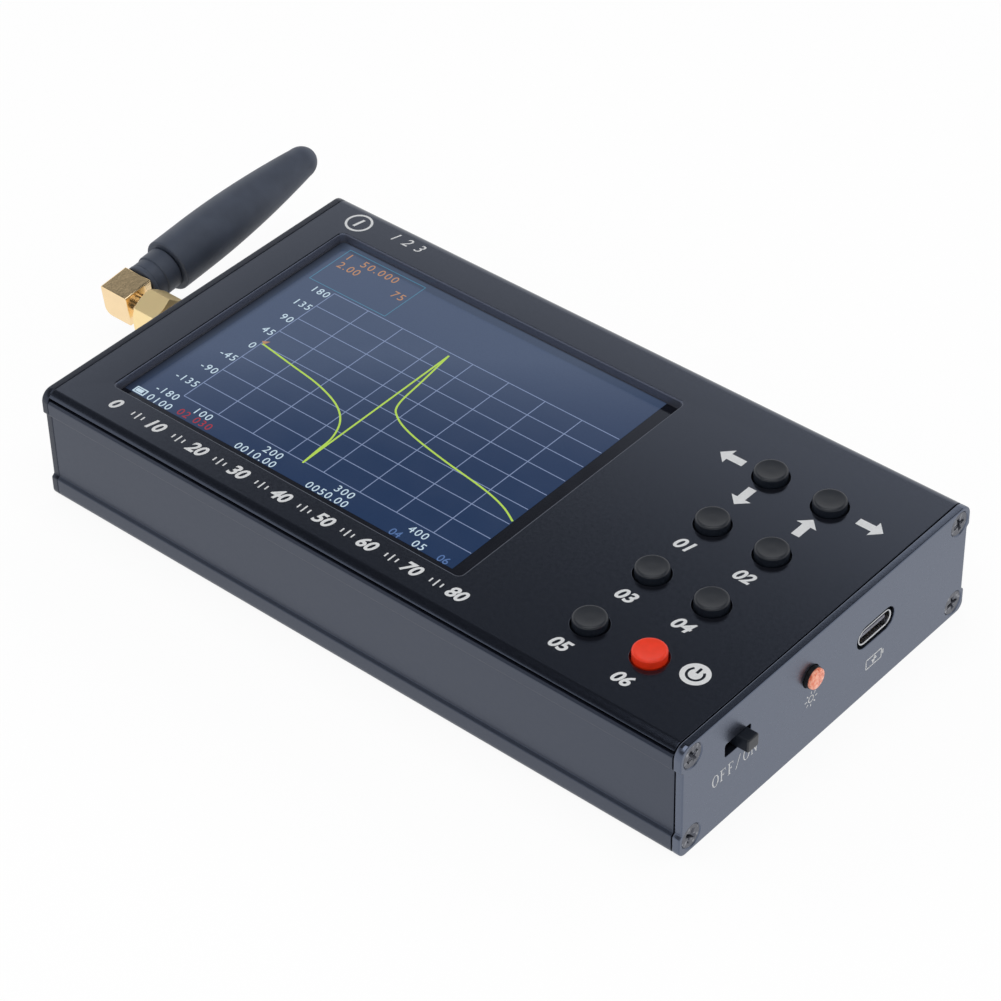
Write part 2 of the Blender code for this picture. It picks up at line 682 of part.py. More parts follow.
def make_display_fasteners():
    """Four spacers between the boards, and the pan head screws that go down into them."""
    bore = DISPLAY_SHANK_RADIUS + GAP
    profile = [
        (SPACER_RADIUS, SPACER_TOP),
        (SPACER_RADIUS, SPACER_BOTTOM),
        (bore, SPACER_BOTTOM),
        (bore, SPACER_TOP),
    ]
    spacer = turned("spacer_pattern", profile, steps=SMALL_STEPS, ring=True)
    places = display_screw_places().items()
    repeat(spacer, [(f"display_spacer_{n}", (x, y, 0)) for n, (x, y) in places], STEEL)
    seat = DISPLAY_BOARD_TOP + GAP
    top = seat + DISPLAY_HEAD_HEIGHT
    dome_centre = (DISPLAY_HEAD_RADIUS - DISPLAY_HEAD_ROUNDING, top - DISPLAY_HEAD_ROUNDING)
    profile = [
        (0, top),
        *arc(dome_centre, DISPLAY_HEAD_ROUNDING, 90, 0, 2),
        (DISPLAY_HEAD_RADIUS, seat),
        (DISPLAY_SHANK_RADIUS, seat),
        (DISPLAY_SHANK_RADIUS, DISPLAY_BOARD_BOTTOM - DISPLAY_SHANK_GRIP),
        (0, DISPLAY_BOARD_BOTTOM - DISPLAY_SHANK_GRIP),
    ]
    screw = turned("display_screw_pattern", profile, steps=COARSE_STEPS)
    cross_recess(screw, top, DISPLAY_CROSS_REACH, CROSS_DEPTH)
    repeat(screw, [(f"display_screw_{n}", (x, y, 0)) for n, (x, y) in places], STEEL)


def make_display():
    """The liquid crystal panel in its pressed tray, on the display board."""
    reach = TRAY_REACH
    tray = box(
        "lcd_tray",
        (LCD_MIN_X - reach, -LCD_HALF_WIDTH - reach, TRAY_BOTTOM),
        (LCD_MAX_X + reach, LCD_HALF_WIDTH + reach, LCD_TOP - GAP),
    )
    hollow = box(
        "tray_hollow",
        (LCD_MIN_X - GAP, -LCD_HALF_WIDTH - GAP, TRAY_BOTTOM + TRAY_FLOOR),
        (LCD_MAX_X + GAP, LCD_HALF_WIDTH + GAP, LCD_TOP + OVERRUN),
    )
    finish(cut(tray, hollow), STEEL)
    panel = box(
        "lcd_panel",
        (LCD_MIN_X, -LCD_HALF_WIDTH, LCD_BOTTOM),
        (LCD_MAX_X, LCD_HALF_WIDTH, LCD_TOP),
    )
    finish(panel, DISPLAY_BLUE)


def key_places():
    """The keys by name: column a is next to the display, and row 1 is at the far side."""
    places = {}
    for column, x in zip("ab", KEY_COLUMNS_X):
        for row in range(KEY_ROWS):
            y = KEY_ROW_SHIFT + ((KEY_ROWS - 1) / 2 - row) * KEY_ROW_PITCH
            places[f"{column}{row + 1}"] = (x, y)
    return places


def make_keys():
    """Round caps, each with a flange that the cover keeps in and a stem into its switch."""
    top = CASE_HEIGHT + KEY_PROUD
    flange_top = PANEL_BOTTOM - GAP
    flange_bottom = flange_top - KEY_FLANGE_THICKNESS
    stem_bottom = tact_top() - TACT_WELL + GAP + KEY_TRAVEL
    profile = [
        (0, top - KEY_DISH),
        (KEY_RADIUS / 2, top - KEY_DISH / 2),
        *arc((KEY_RADIUS - KEY_RIM, top - KEY_RIM), KEY_RIM, 90, 0, 2),
        (KEY_RADIUS, flange_top),
        (KEY_FLANGE_RADIUS, flange_top),
        (KEY_FLANGE_RADIUS, flange_bottom),
        (KEY_STEM_RADIUS, flange_bottom),
        (KEY_STEM_RADIUS, stem_bottom),
        (0, stem_bottom),
    ]
    cap = turned("key_cap_pattern", profile)
    places = [(f"key_cap_{name}", (x, y, 0)) for name, (x, y) in key_places().items()]
    caps = repeat(cap, places, BLACK_PLASTIC)
    finish(caps[-1], RED_PLASTIC)


def tact_top():
    return BOARD_TOP + GAP + TACT_HEIGHT


def make_tact_switches():
    """A push switch under each key: a square body with a round well for the key's stem."""
    half = TACT_SIDE / 2
    body = box("tact_pattern", (-half, -half, BOARD_TOP + GAP), (half, half, tact_top()))
    soften(body, TACT_EDGE)
    well = (KEY_STEM_RADIUS + GAP, 2 * TACT_WELL, (0, 0, tact_top()))
    cut(body, cylinder("tact_well", *well, steps=COARSE_STEPS))
    middle = (BOARD_TOP + GAP + tact_top()) / 2
    places = [(f"tact_switch_{name}", (x, y, middle)) for name, (x, y) in key_places().items()]
    repeat(body, places, BLACK_PLASTIC)


def make_battery():
    """A flat pouch cell on the floor, with its sealed lip at one end."""
    half_length, half_width = BATTERY_LENGTH / 2, BATTERY_WIDTH / 2
    cell = box(
        "battery_cell",
        (BATTERY_X - half_length, -half_width, BATTERY_BOTTOM),
        (BATTERY_X + half_length, half_width, BATTERY_TOP),
    )
    soften(cell, BATTERY_ROUNDING, segments=3)
    cell_end = BATTERY_X + half_length
    lip_half_width = half_width - BATTERY_ROUNDING
    lip_z = BATTERY_TOP - 2 * BATTERY_ROUNDING
    lip = box(
        "battery_lip",
        (cell_end - OVERRUN, -lip_half_width, lip_z),
        (cell_end + BATTERY_SEAL_LENGTH, lip_half_width, lip_z + BATTERY_SEAL_THICKNESS),
    )
    finish(join(cell, lip), POUCH)


def make_board_parts():
    """The shield can over the radio circuit, and the processor."""
    half_length, half_width = SHIELD_LENGTH / 2, SHIELD_WIDTH / 2
    bottom = BOARD_TOP + GAP
    can = box(
        "rf_shield_can",
        (SHIELD_X - half_length, -half_width, bottom),
        (SHIELD_X + half_length, half_width, bottom + SHIELD_HEIGHT),
    )
    soften(can, SHIELD_WALL)
    inner_half_length = half_length - SHIELD_WALL
    inner_half_width = half_width - SHIELD_WALL
    hollow = box(
        "can_hollow",
        (SHIELD_X - inner_half_length, -inner_half_width, bottom - OVERRUN),
        (SHIELD_X + inner_half_length, inner_half_width, bottom + SHIELD_HEIGHT - SHIELD_WALL),
    )
    finish(cut(can, hollow), STEEL)
    half = CHIP_SIDE / 2
    top = bottom + CHIP_HEIGHT
    chip = box("processor_chip", (CHIP_X - half, -half, bottom), (CHIP_X + half, half, top))
    finish(soften(chip, CHIP_EDGE), BLACK_PLASTIC)


def make_usb_socket():
    """A stadium-shaped steel shell on the board, and the contact tongue inside it."""
    front = HALF_LENGTH - USB_RECESS
    back = front - USB_LENGTH
    inner_width, inner_height = USB_WIDTH - 2 * USB_WALL, USB_HEIGHT - 2 * USB_WALL
    shell = extruded(
        "usb_c_shell",
        rounded_rectangle(USB_WIDTH, USB_HEIGHT, USB_HEIGHT / 2),
        USB_LENGTH,
        ((front + back) / 2, USB_Y, USB_Z),
        ACROSS_CASE,
        [rounded_rectangle(inner_width, inner_height, inner_height / 2)],
    )
    finish(shell, STEEL)
    base_height = inner_height - 2 * GAP
    tongue = extruded(
        "usb_c_tongue",
        rounded_rectangle(inner_width - 2 * GAP, base_height, base_height / 2),
        TONGUE_BASE,
        (back + TONGUE_BASE / 2, USB_Y, USB_Z),
        ACROSS_CASE,
    )
    half_width, half_thickness = TONGUE_WIDTH / 2, TONGUE_THICKNESS / 2
    blade = box(
        "tongue_blade",
        (back + TONGUE_BASE / 2, USB_Y - half_width, USB_Z - half_thickness),
        (front - TONGUE_SETBACK, USB_Y + half_width, USB_Z + half_thickness),
    )
    finish(join(tongue, blade), BLACK_PLASTIC)


def make_status_light():
    """A round light held in a short black sleeve that passes through the plate."""
    tip = LED_PROUD
    radius = LED_RADIUS
    curve = (radius * radius + LED_DOME * LED_DOME) / (2 * LED_DOME)
    spread = math.degrees(math.asin(radius / curve))
    dome = arc((0, tip - curve), curve, 90, 90 - spread, 4)
    profile = [(0, tip), *dome[1:], (radius, tip - LED_LENGTH), (0, tip - LED_LENGTH)]
    place = (HALF_LENGTH, LED_Y, LED_Z)
    finish(turned("status_led", profile, place, TOWARDS_USB), LED_AMBER)
    bore = radius + SLEEVE_GAP
    front = tip - LED_DOME - SLEEVE_SETBACK
    profile = [
        (bore + SLEEVE_WALL, front),
        (bore + SLEEVE_WALL, front - SLEEVE_LENGTH),
        (bore, front - SLEEVE_LENGTH),
        (bore, front),
    ]
    finish(turned("led_sleeve", profile, place, TOWARDS_USB, ring=True), BLACK_PLASTIC)


def switch_slot_corner(side):
    """The lower (-1) or upper (1) corner of the slot that the knob slides in, as (y, z)."""
    middle = SWITCH_Y - SWITCH_TRAVEL / 2
    half_width = (KNOB_WIDTH + SWITCH_TRAVEL) / 2 + SWITCH_SLOT_END
    return (middle + side * half_width, SWITCH_Z + side * (KNOB_HEIGHT / 2 + GAP))


def make_power_switch():
    """A slide switch behind the plate, whose knob reaches out through the slot."""
    front = PLATE_INNER_X - GAP
    half_height = KNOB_HEIGHT / 2 + GAP
    slider_half = SLIDER_WIDTH / 2
    cavity_low = SWITCH_Y - SWITCH_TRAVEL - slider_half - GAP
    cavity_high = SWITCH_Y + slider_half + GAP
    body = box(
        "slide_switch_body",
        (front - SWITCH_DEPTH, cavity_low - SWITCH_WALL, BOARD_TOP + GAP),
        (front, cavity_high + SWITCH_WALL, SWITCH_Z + half_height + SWITCH_WALL / 2),
    )
    slider_back = front - SWITCH_DEPTH + SWITCH_WALL + GAP
    cavity = box(
        "switch_cavity",
        (slider_back - GAP, cavity_low, SWITCH_Z - half_height),
        (front + OVERRUN, cavity_high, SWITCH_Z + half_height),
    )
    finish(cut(body, cavity), STEEL)
    half = KNOB_HEIGHT / 2
    knob = box(
        "slide_switch_knob",
        (slider_back, SWITCH_Y - KNOB_WIDTH / 2, SWITCH_Z - half),
        (HALF_LENGTH + KNOB_PROUD, SWITCH_Y + KNOB_WIDTH / 2, SWITCH_Z + half),
    )
    soften(knob, KNOB_CHAMFER)
    slider = box(
        "knob_slider",
        (slider_back, SWITCH_Y - slider_half, SWITCH_Z - half),
        (slider_back + SLIDER_DEPTH, SWITCH_Y + slider_half, SWITCH_Z + half),
    )
    finish(join(knob, slider), BLACK_PLASTIC)


def bar_along_x(name, radius, low_x, high_x):
    """A round bar on the antenna socket's axis."""
    return cylinder(name, radius, high_x - low_x, ((low_x + high_x) / 2, 0, SMA_Z), TOWARDS_ANTENNA)


def make_sma_jack():
    """The threaded antenna socket that clasps the board's edge, with its insulator and contact."""
    flange_outer = -PLATE_INNER_X + GAP
    flange_inner = flange_outer + SMA_FLANGE_THICKNESS
    half = SMA_FLANGE_SIDE / 2
    flange_bottom = BOARD_BOTTOM - GAP - SMA_LEG_THICKNESS
    middle = (flange_outer + flange_inner) / 2
    jack = bar_along_x("sma_jack", THREAD_RADIUS, BARREL_TIP_X, middle)
    flange = box("jack_flange", (flange_outer, -half, flange_bottom), (flange_inner, half, SMA_Z + half))
    join(jack, flange)
    for i, side in enumerate((-1, 1)):
        for j, bottom in enumerate((flange_bottom, BOARD_TOP + GAP)):
            y = sorted((side * half, side * (half - SMA_LEG_WIDTH)))
            leg = box(
                f"jack_leg_{i}{j}",
                (flange_inner - OVERRUN, y[0], bottom),
                (flange_inner + SMA_LEG_LENGTH, y[1], bottom + SMA_LEG_THICKNESS),
            )
            join(jack, leg)
    cut(jack, bar_along_x("jack_bore", SMA_BORE_RADIUS, BARREL_TIP_X - OVERRUN, flange_inner + OVERRUN))
    finish(jack, GOLD)
    insulator_tip = -BARREL_TIP_X - INSULATOR_SINK
    profile = [
        (INSULATOR_RADIUS, insulator_tip),
        (INSULATOR_RADIUS, -flange_inner),
        (INSULATOR_BORE, -flange_inner),
        (INSULATOR_BORE, insulator_tip),
    ]
    insulator = turned(
        "sma_insulator", profile, (0, 0, SMA_Z), TOWARDS_ANTENNA, steps=COARSE_STEPS, ring=True
    )
    finish(insulator, WHITE_PLASTIC)
    tail = -flange_inner - CONTACT_TAIL
    profile = [(0, insulator_tip), (CONTACT_RADIUS, insulator_tip), (CONTACT_RADIUS, tail), (0, tail)]
    finish(turned("sma_contact", profile, (0, 0, SMA_Z), TOWARDS_ANTENNA, steps=COARSE_STEPS), GOLD)


def make_panel_nut():
    """The washer and thin nut that clamp the socket to the antenna end plate."""
    bore = THREAD_RADIUS + GAP
    profile = [
        (WASHER_RADIUS, -WASHER_X),
        (WASHER_RADIUS, -WASHER_X - WASHER_THICKNESS),
        (bore, -WASHER_X - WASHER_THICKNESS),
        (bore, -WASHER_X),
    ]
    finish(turned("sma_washer", profile, (0, 0, SMA_Z), TOWARDS_ANTENNA, ring=True), GOLD)
    nut = hex_nut(
        "sma_panel_nut", PANEL_NUT_FLATS, PANEL_NUT_X, PANEL_NUT_THICKNESS, PANEL_NUT_CHAMFER
    )
    cut(nut, bar_along_x("panel_nut_bore", bore, PANEL_NUT_X - OVERRUN, WASHER_X))
    finish(nut, GOLD)


def hex_nut(name, flats, low_x, length, chamfer):
    """A hexagon with its corners chamfered at both ends, along X on the socket's axis."""
    middle = (low_x + length / 2, 0, SMA_Z)
    nut = extruded(name, hexagon(flats), length, middle, ACROSS_CASE)
    flat_end = flats / 2 - chamfer / 2
    outer = flats / math.sqrt(3) + GAP
    drop = (outer - flat_end) / math.sqrt(3)
    profile = [
        (0, length / 2),
        (flat_end, length / 2),
        (outer, length / 2 - drop),
        (outer, drop - length / 2),
        (flat_end, -length / 2),
        (0, -length / 2),
    ]
    return combine(nut, turned(f"{name}_chamfers", profile, middle, TOWARDS_ANTENNA), "INTERSECT")


def make_coupling_nut():
    """The loose hexagon nut that pulls the elbow's plug onto the socket."""
    nut = hex_nut("coupling_nut", COUPLING_FLATS, COUPLING_BACK_X, COUPLING_LENGTH, COUPLING_CHAMFER)
    nut.rotation_euler.rotate_axis("Z", COUPLING_TURN)
    back = -COUPLING_BACK_X - COUPLING_BACK
    profile = [
        (0, -COUPLING_BACK_X + OVERRUN),
        (NECK_RADIUS + GAP, -COUPLING_BACK_X + OVERRUN),
        (NECK_RADIUS + GAP, back),
        (THREAD_RADIUS + GAP, back),
        (THREAD_RADIUS + GAP, -COUPLING_OPEN_X - OVERRUN),
        (0, -COUPLING_OPEN_X - OVERRUN),
    ]
    cut(nut, turned("coupling_bore", profile, (0, 0, SMA_Z), TOWARDS_ANTENNA))
    finish(nut, GOLD)


def make_elbow(swivel):
    """The gold elbow: a square block with one rounded back edge, its plug and its stub."""
    half = ELBOW_SIDE / 2
    outline = [
        (half, half),
        (-half, half),
        *arc((ELBOW_ROUND - half, ELBOW_ROUND - half), ELBOW_ROUND, 180, 270, 2 * ARC_STEPS),
        (half, -half),
    ]
    block = extruded(
        "elbow_block", outline, ELBOW_SIDE, (0, ELBOW_SHIFT, 0), (math.radians(90), 0, 0)
    )
    block.parent = swivel
    soften(block, ELBOW_EDGE)
    ferrule_back = COUPLING_BACK_X + COUPLING_BACK + GAP - ELBOW_X
    ferrule_front = BARREL_TIP_X - GAP - ELBOW_X
    profile = [
        (0, ferrule_front),
        (FERRULE_RADIUS, ferrule_front),
        (FERRULE_RADIUS, ferrule_back),
        (NECK_RADIUS, ferrule_back),
        (NECK_RADIUS, half - OVERRUN),
        (0, half - OVERRUN),
    ]
    plug = turned("elbow_plug", profile, rotation=TOWARDS_USB)
    stub = cylinder(
        "elbow_stub",
        STUB_RADIUS,
        STUB_LENGTH + OVERRUN,
        (0, half + ELBOW_SHIFT + (STUB_LENGTH - OVERRUN) / 2, 0),
        ALONG_ANTENNA,
    )
    for piece in (plug, stub):
        piece.parent = swivel
        join(block, piece)
    finish(block, GOLD)


def make_antenna(swivel):
    """The stepped collar on the elbow's stub, the rubber sleeve and the wound wire inside it."""
    bore = STUB_RADIUS + GAP
    stub_start = ELBOW_SIDE / 2 + ELBOW_SHIFT
    bottom = stub_start + GAP
    step = bottom + COLLAR_LENGTH
    top = step + SHOULDER_LENGTH
    profile = [
        (SHOULDER_RADIUS - COLLAR_EDGE, top),
        (SHOULDER_RADIUS, top - COLLAR_EDGE),
        (SHOULDER_RADIUS, step + COLLAR_EDGE),
        (SHOULDER_RADIUS - COLLAR_EDGE, step),
        (COLLAR_RADIUS - COLLAR_EDGE, step),
        (COLLAR_RADIUS, step - COLLAR_EDGE),
        (COLLAR_RADIUS, bottom + COLLAR_EDGE),
        (COLLAR_RADIUS - COLLAR_EDGE, bottom),
        (bore, bottom),
        (bore, top),
    ]
    collar = turned("antenna_collar", profile, rotation=ALONG_ANTENNA, ring=True)
    finish(collar, RUBBER)
    base = top + GAP
    taper_start = base + SLEEVE_STRAIGHT
    taper_end = taper_start + SLEEVE_TAPER
    tip = taper_end + SLEEVE_TIP_LENGTH
    narrowing = SLEEVE_BASE_RADIUS - SLEEVE_TIP_RADIUS
    profile = []
    for i in range(ARC_STEPS):
        angle = math.radians(90) * i / ARC_STEPS
        height = taper_end + SLEEVE_TIP_LENGTH * math.cos(angle)
        profile.append((SLEEVE_TIP_RADIUS * math.sin(angle), height))
    for i in range(TAPER_RINGS, -1, -1):
        share = i / TAPER_RINGS
        radius = SLEEVE_BASE_RADIUS - narrowing * share**TAPER_POWER
        profile.append((radius, taper_start + share * SLEEVE_TAPER))
    bore_end = tip - SLEEVE_BORE_END
    profile += [
        (SLEEVE_BASE_RADIUS, base + SLEEVE_BASE_EDGE),
        (SLEEVE_BASE_RADIUS - SLEEVE_BASE_EDGE, base),
        (bore, base),
        (bore, bore_end),
        (0, bore_end),
    ]
    sleeve = turned("antenna_sleeve", profile, rotation=ALONG_ANTENNA, steps=ANTENNA_STEPS)
    finish(sleeve, RUBBER)
    element = make_element(stub_start + STUB_LENGTH + GAP, bore_end - GAP, bore)
    for piece in (collar, sleeve, element):
        piece.parent = swivel


def make_element(start, end, bore):
    """The radiating wire, wound as one open helix that stands on the elbow's stub."""
    wire = ELEMENT_WIRE_RADIUS
    radius = bore - GAP - wire
    steps = ELEMENT_TURNS * ELEMENT_TURN_POINTS
    climb = end - start - 2 * wire
    curve = bpy.data.curves.new("antenna_element", "CURVE")
    curve.dimensions = "3D"
    curve.bevel_depth = wire
    curve.bevel_resolution = 1
    curve.use_fill_caps = True
    spline = curve.splines.new("POLY")
    spline.points.add(steps)
    for i, point in enumerate(spline.points):
        angle = math.tau * i / ELEMENT_TURN_POINTS
        height = start + wire + climb * i / steps
        point.co = (radius * math.cos(angle), radius * math.sin(angle), height, 1)
    element = add_object("antenna_element", curve, rotation=ALONG_ANTENNA)
    least = climb / ELEMENT_TURNS - 2 * wire
    print(f"antenna element: least gap between turns {least / MM:.2f} mm")
    return finish(element, DARK_STEEL)


def smooth_parts():
    """Gives every part its finished mesh, smooth on round faces and sharp at real edges."""
    made = {obj: evaluated_mesh(obj) for obj in PARTS.objects if obj.type in ("MESH", "CURVE")}
    for obj, mesh in made.items():
        if obj.type == "CURVE":
            continue
        obj.modifiers.clear()
        obj.data = mesh
        mesh.shade_smooth()
        mesh.set_sharp_from_angle(angle=math.radians(35))


clear_scene()
PARTS = new_collection("vector_network_analyzer")
CUTTERS = new_collection("cutters")

make_base_shell()
make_top_cover()
make_usb_end_plate()
make_antenna_end_plate()
make_end_screws()
make_boards()
make_display_fasteners()
make_display()
make_keys()
make_tact_switches()
make_battery()
make_board_parts()
make_usb_socket()
make_status_light()
make_power_switch()
make_sma_jack()
make_panel_nut()
make_coupling_nut()

ELBOW_SWIVEL = bpy.data.objects.new("elbow_swivel", None)
ELBOW_SWIVEL.location = (ELBOW_X, 0, SMA_Z)
ELBOW_SWIVEL.rotation_euler = (ELBOW_TILT, 0, 0)
PARTS.objects.link(ELBOW_SWIVEL)
make_elbow(ELBOW_SWIVEL)
make_antenna(ELBOW_SWIVEL)
smooth_parts()
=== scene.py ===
"""Looks for a handheld vector network analyzer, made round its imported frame.

The sections follow the way the instrument is put together. Sizes are in millimetres, and they
turn into metres where a mesh is made.
"""

import math
import random

import bmesh
import bpy
from mathutils import Matrix, Vector


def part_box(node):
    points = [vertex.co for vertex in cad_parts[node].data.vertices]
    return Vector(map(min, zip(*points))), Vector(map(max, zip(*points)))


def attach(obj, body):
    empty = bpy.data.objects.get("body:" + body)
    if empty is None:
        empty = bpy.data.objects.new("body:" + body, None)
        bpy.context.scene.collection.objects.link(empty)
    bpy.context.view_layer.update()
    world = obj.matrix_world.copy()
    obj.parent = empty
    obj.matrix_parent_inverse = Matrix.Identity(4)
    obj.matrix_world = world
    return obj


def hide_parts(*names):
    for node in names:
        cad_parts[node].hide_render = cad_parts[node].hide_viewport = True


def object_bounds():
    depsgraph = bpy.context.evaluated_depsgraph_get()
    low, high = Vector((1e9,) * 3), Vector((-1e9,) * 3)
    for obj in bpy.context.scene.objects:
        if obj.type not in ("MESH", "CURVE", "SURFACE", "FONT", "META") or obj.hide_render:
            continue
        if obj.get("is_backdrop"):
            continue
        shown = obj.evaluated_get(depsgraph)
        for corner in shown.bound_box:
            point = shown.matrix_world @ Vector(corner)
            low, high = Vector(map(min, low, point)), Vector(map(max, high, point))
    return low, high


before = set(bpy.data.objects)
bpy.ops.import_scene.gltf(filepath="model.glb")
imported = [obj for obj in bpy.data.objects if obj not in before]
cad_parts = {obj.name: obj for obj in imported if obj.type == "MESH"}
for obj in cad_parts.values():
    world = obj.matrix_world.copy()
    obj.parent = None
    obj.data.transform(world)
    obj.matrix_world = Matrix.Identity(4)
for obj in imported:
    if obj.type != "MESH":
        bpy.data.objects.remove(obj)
cad_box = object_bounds()
MM = 0.001

# The viewpoint: a long lens that looks down over the corner between the socket end and the
# near side, at a point just beside the middle of the case.
VIEW_AZIMUTH = math.radians(41.524)
VIEW_ELEVATION = math.radians(39.854)
VIEW_ROLL = math.radians(-1.398)
VIEW_DISTANCE = 579.37
VIEW_SIDESTEP = 0.735
VIEW_RISE = -0.377
LENS_LENGTH = 123.61
SENSOR_WIDTH = 36


def extent(node):
    """A node's lowest and highest corners."""
    return [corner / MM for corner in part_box(node)]


def placed(name, data):
    """A new object in the scene, with its data."""
    made = bpy.data.objects.new(name, data)
    bpy.context.scene.collection.objects.link(made)
    return made


case_top = extent("top_cover")[1].z
back = Vector((
    math.sin(VIEW_AZIMUTH) * math.cos(VIEW_ELEVATION),
    -math.cos(VIEW_AZIMUTH) * math.cos(VIEW_ELEVATION),
    math.sin(VIEW_ELEVATION),
))
right = Vector((math.cos(VIEW_AZIMUTH), math.sin(VIEW_AZIMUTH), 0))
right.rotate(Matrix.Rotation(VIEW_ROLL, 3, back))
up = back.cross(right)
aim = Vector((0, 0, case_top / 2)) + right * VIEW_SIDESTEP + up * VIEW_RISE
lens = bpy.data.cameras.new("camera")
lens.sensor_fit = "HORIZONTAL"
lens.sensor_width = SENSOR_WIDTH
lens.lens = LENS_LENGTH
camera = placed("camera", lens)
turned = Matrix((right, up, back)).transposed().to_4x4()
camera.matrix_world = Matrix.Translation((aim + back * VIEW_DISTANCE) * MM) @ turned
bpy.context.scene.camera = camera

# The base shell is the lower aluminium extrusion: a channel whose sides step in between a lip
# and a ledge, with ribs that hold the board. It is drawn, cut to length, blasted and anodised.
HALF_WIDTH = 38.0
TOP_CORNER = 2.2
BOTTOM_CORNER = 1.6
LIP_BOTTOM = 18.4
RECESS_TOP = 17.9
RECESS_BOTTOM = 4.6
LEDGE_TOP = 4.15
RECESS_HALF_WIDTH = 37.4
STEP_OUTER = 0.35
STEP_INNER = 0.25
WALL_SHOULDER = 20.9
WALL_TOP = 21.25
WALL_BREAK = 0.4
LIP_INNER = 37.15
WALL_INNER = 36.2
INNER_STEP = (17.6, 18.6)
FLOOR_TOP = 1.8
RIB_Y = 34.7
RIB_HEIGHT = 1.2
RIB_BOTTOMS = (11.4, 8.0)
PORT_Y = 35.0
PORT_RADIUS = 1.85
LOWER_PORT_Z = 2.96
SAWN_EDGE = 0.08
PLATE_GAP = 0.03
SEAM_GAP = 0.16
SHELL_TONE = (0.006, 0.0072, 0.013)
SHELL_SKIN = {"lines": 0.5, "roughness": 0.38, "grit": 0.01}
SKIN_TINT = (0.62, 0.73, 1.0)
SKIN_DUST = (7.0, 0.09, 0.2)
SKIN_DUST_SHARE = 0.6


def arc(centre, radius, start, end, steps=12):
    """Points along an arc between two angles in degrees, both ends included."""
    angles = [math.radians(start + (end - start) * i / steps) for i in range(steps + 1)]
    return [(centre[0] + radius * math.cos(a), centre[1] + radius * math.sin(a)) for a in angles]


def mirrored(points):
    """The same points on the other side of the middle, in reverse order."""
    return [(-point[0], *point[1:]) for point in reversed(points)]


def filleted(corners, steps=5):
    """A closed outline in which each corner given as (u, v, radius) is rounded off."""
    points = []
    for i, corner in enumerate(corners):
        place = Vector(corner[:2])
        if len(corner) == 2:
            points.append(tuple(place))
            continue
        before = (Vector(corners[i - 1][:2]) - place).normalized()
        after = (Vector(corners[(i + 1) % len(corners)][:2]) - place).normalized()
        half = before.angle(after) / 2
        centre = place + (before + after).normalized() * corner[2] / math.sin(half)
        spoke = place + before * corner[2] / math.tan(half) - centre
        turn = math.copysign(math.pi - 2 * half, after.cross(before))
        for k in range(steps + 1):
            points.append(tuple(centre + Matrix.Rotation(turn * k / steps, 2) @ spoke))
    return points


def inset(outline, depth):
    """An anticlockwise outline moved inwards by a depth, or outwards by a negative one."""
    moved = []
    for i, point in enumerate(outline):
        place = Vector(point)
        before = (place - Vector(outline[i - 1])).normalized()
        after = (Vector(outline[(i + 1) % len(outline)]) - place).normalized()
        inward = Vector((-before.y - after.y, before.x + after.x))
        moved.append(tuple(place + inward * depth / (1 + before.dot(after))))
    return moved


def skin(rings, hoop=False):
    """Points and faces over rings of points, with flat ends, or joined end to end as a hoop."""
    count = len(rings[0])
    faces = []
    for i in range(len(rings) if hoop else len(rings) - 1):
        low, high = i * count, (i + 1) % len(rings) * count
        for j in range(count):
            k = (j + 1) % count
            faces.append((low + j, low + k, high + k, high + j))
    if not hoop:
        last = (len(rings) - 1) * count
        faces.append(tuple(reversed(range(count))))
        faces.append(tuple(range(last, last + count)))
    return [point for ring in rings for point in ring], faces


def stacked(outline, rings, place, hoop=False):
    """A skin over rings of one outline, each given as (inset, height)."""
    return skin([[place(u, v, h) for u, v in inset(outline, depth)] for depth, h in rings], hoop)


def rounding(radius, steps):
    """An edge's rounding, as (inset, rise) from the end face to the side."""
    angles = [math.pi / 2 * i / steps for i in range(steps + 1)]
    return [(radius * (1 - math.sin(a)), radius * (1 - math.cos(a))) for a in angles]


def slab(outline, low, high, edge, place, steps=3):
    """A skin between two heights over an outline, with its rims rounded by an edge radius."""
    rim = rounding(edge, steps)
    rings = [(inward, low + rise) for inward, rise in rim]
    rings += [(inward, high - rise) for inward, rise in reversed(rim)]
    return stacked(outline, rings, place)


def solid(name, *skins):
    """One mesh of closed skins, with its faces pointing out."""
    body = bmesh.new()
    for points, faces in skins:
        corners = [body.verts.new(Vector(point) * MM) for point in points]
        for face in faces:
            body.faces.new([corners[i] for i in face])
    bmesh.ops.recalc_face_normals(body, faces=body.faces)
    mesh = bpy.data.meshes.new(name)
    body.to_mesh(mesh)
    body.free()
    return placed(name, mesh)


def upright(u, v, height):
    return (u, v, height)


def along_x(u, v, height):
    return (height, u, v)


def math_node(name, reflected=False):
    """An operator between a signal and another value, which adds one Math node."""
    def operate(self, other):
        inputs = {0: other, 1: self} if reflected else {0: self, 1: other}
        return self.recipe.node("Math", {"operation": name}, inputs)
    return operate


class Signal:
    """A value inside a material, whose sums, products and comparisons add Math nodes."""

    def __init__(self, recipe, socket):
        self.recipe = recipe
        self.socket = socket

    __add__ = __radd__ = math_node("ADD")
    __mul__ = __rmul__ = math_node("MULTIPLY")
    __sub__ = math_node("SUBTRACT")
    __rsub__ = math_node("SUBTRACT", reflected=True)
    __truediv__ = math_node("DIVIDE")
    __rtruediv__ = math_node("DIVIDE", reflected=True)
    __pow__ = math_node("POWER")
    __rpow__ = math_node("POWER", reflected=True)
    __gt__ = math_node("GREATER_THAN")
    __lt__ = math_node("LESS_THAN")
    maximum = math_node("MAXIMUM")


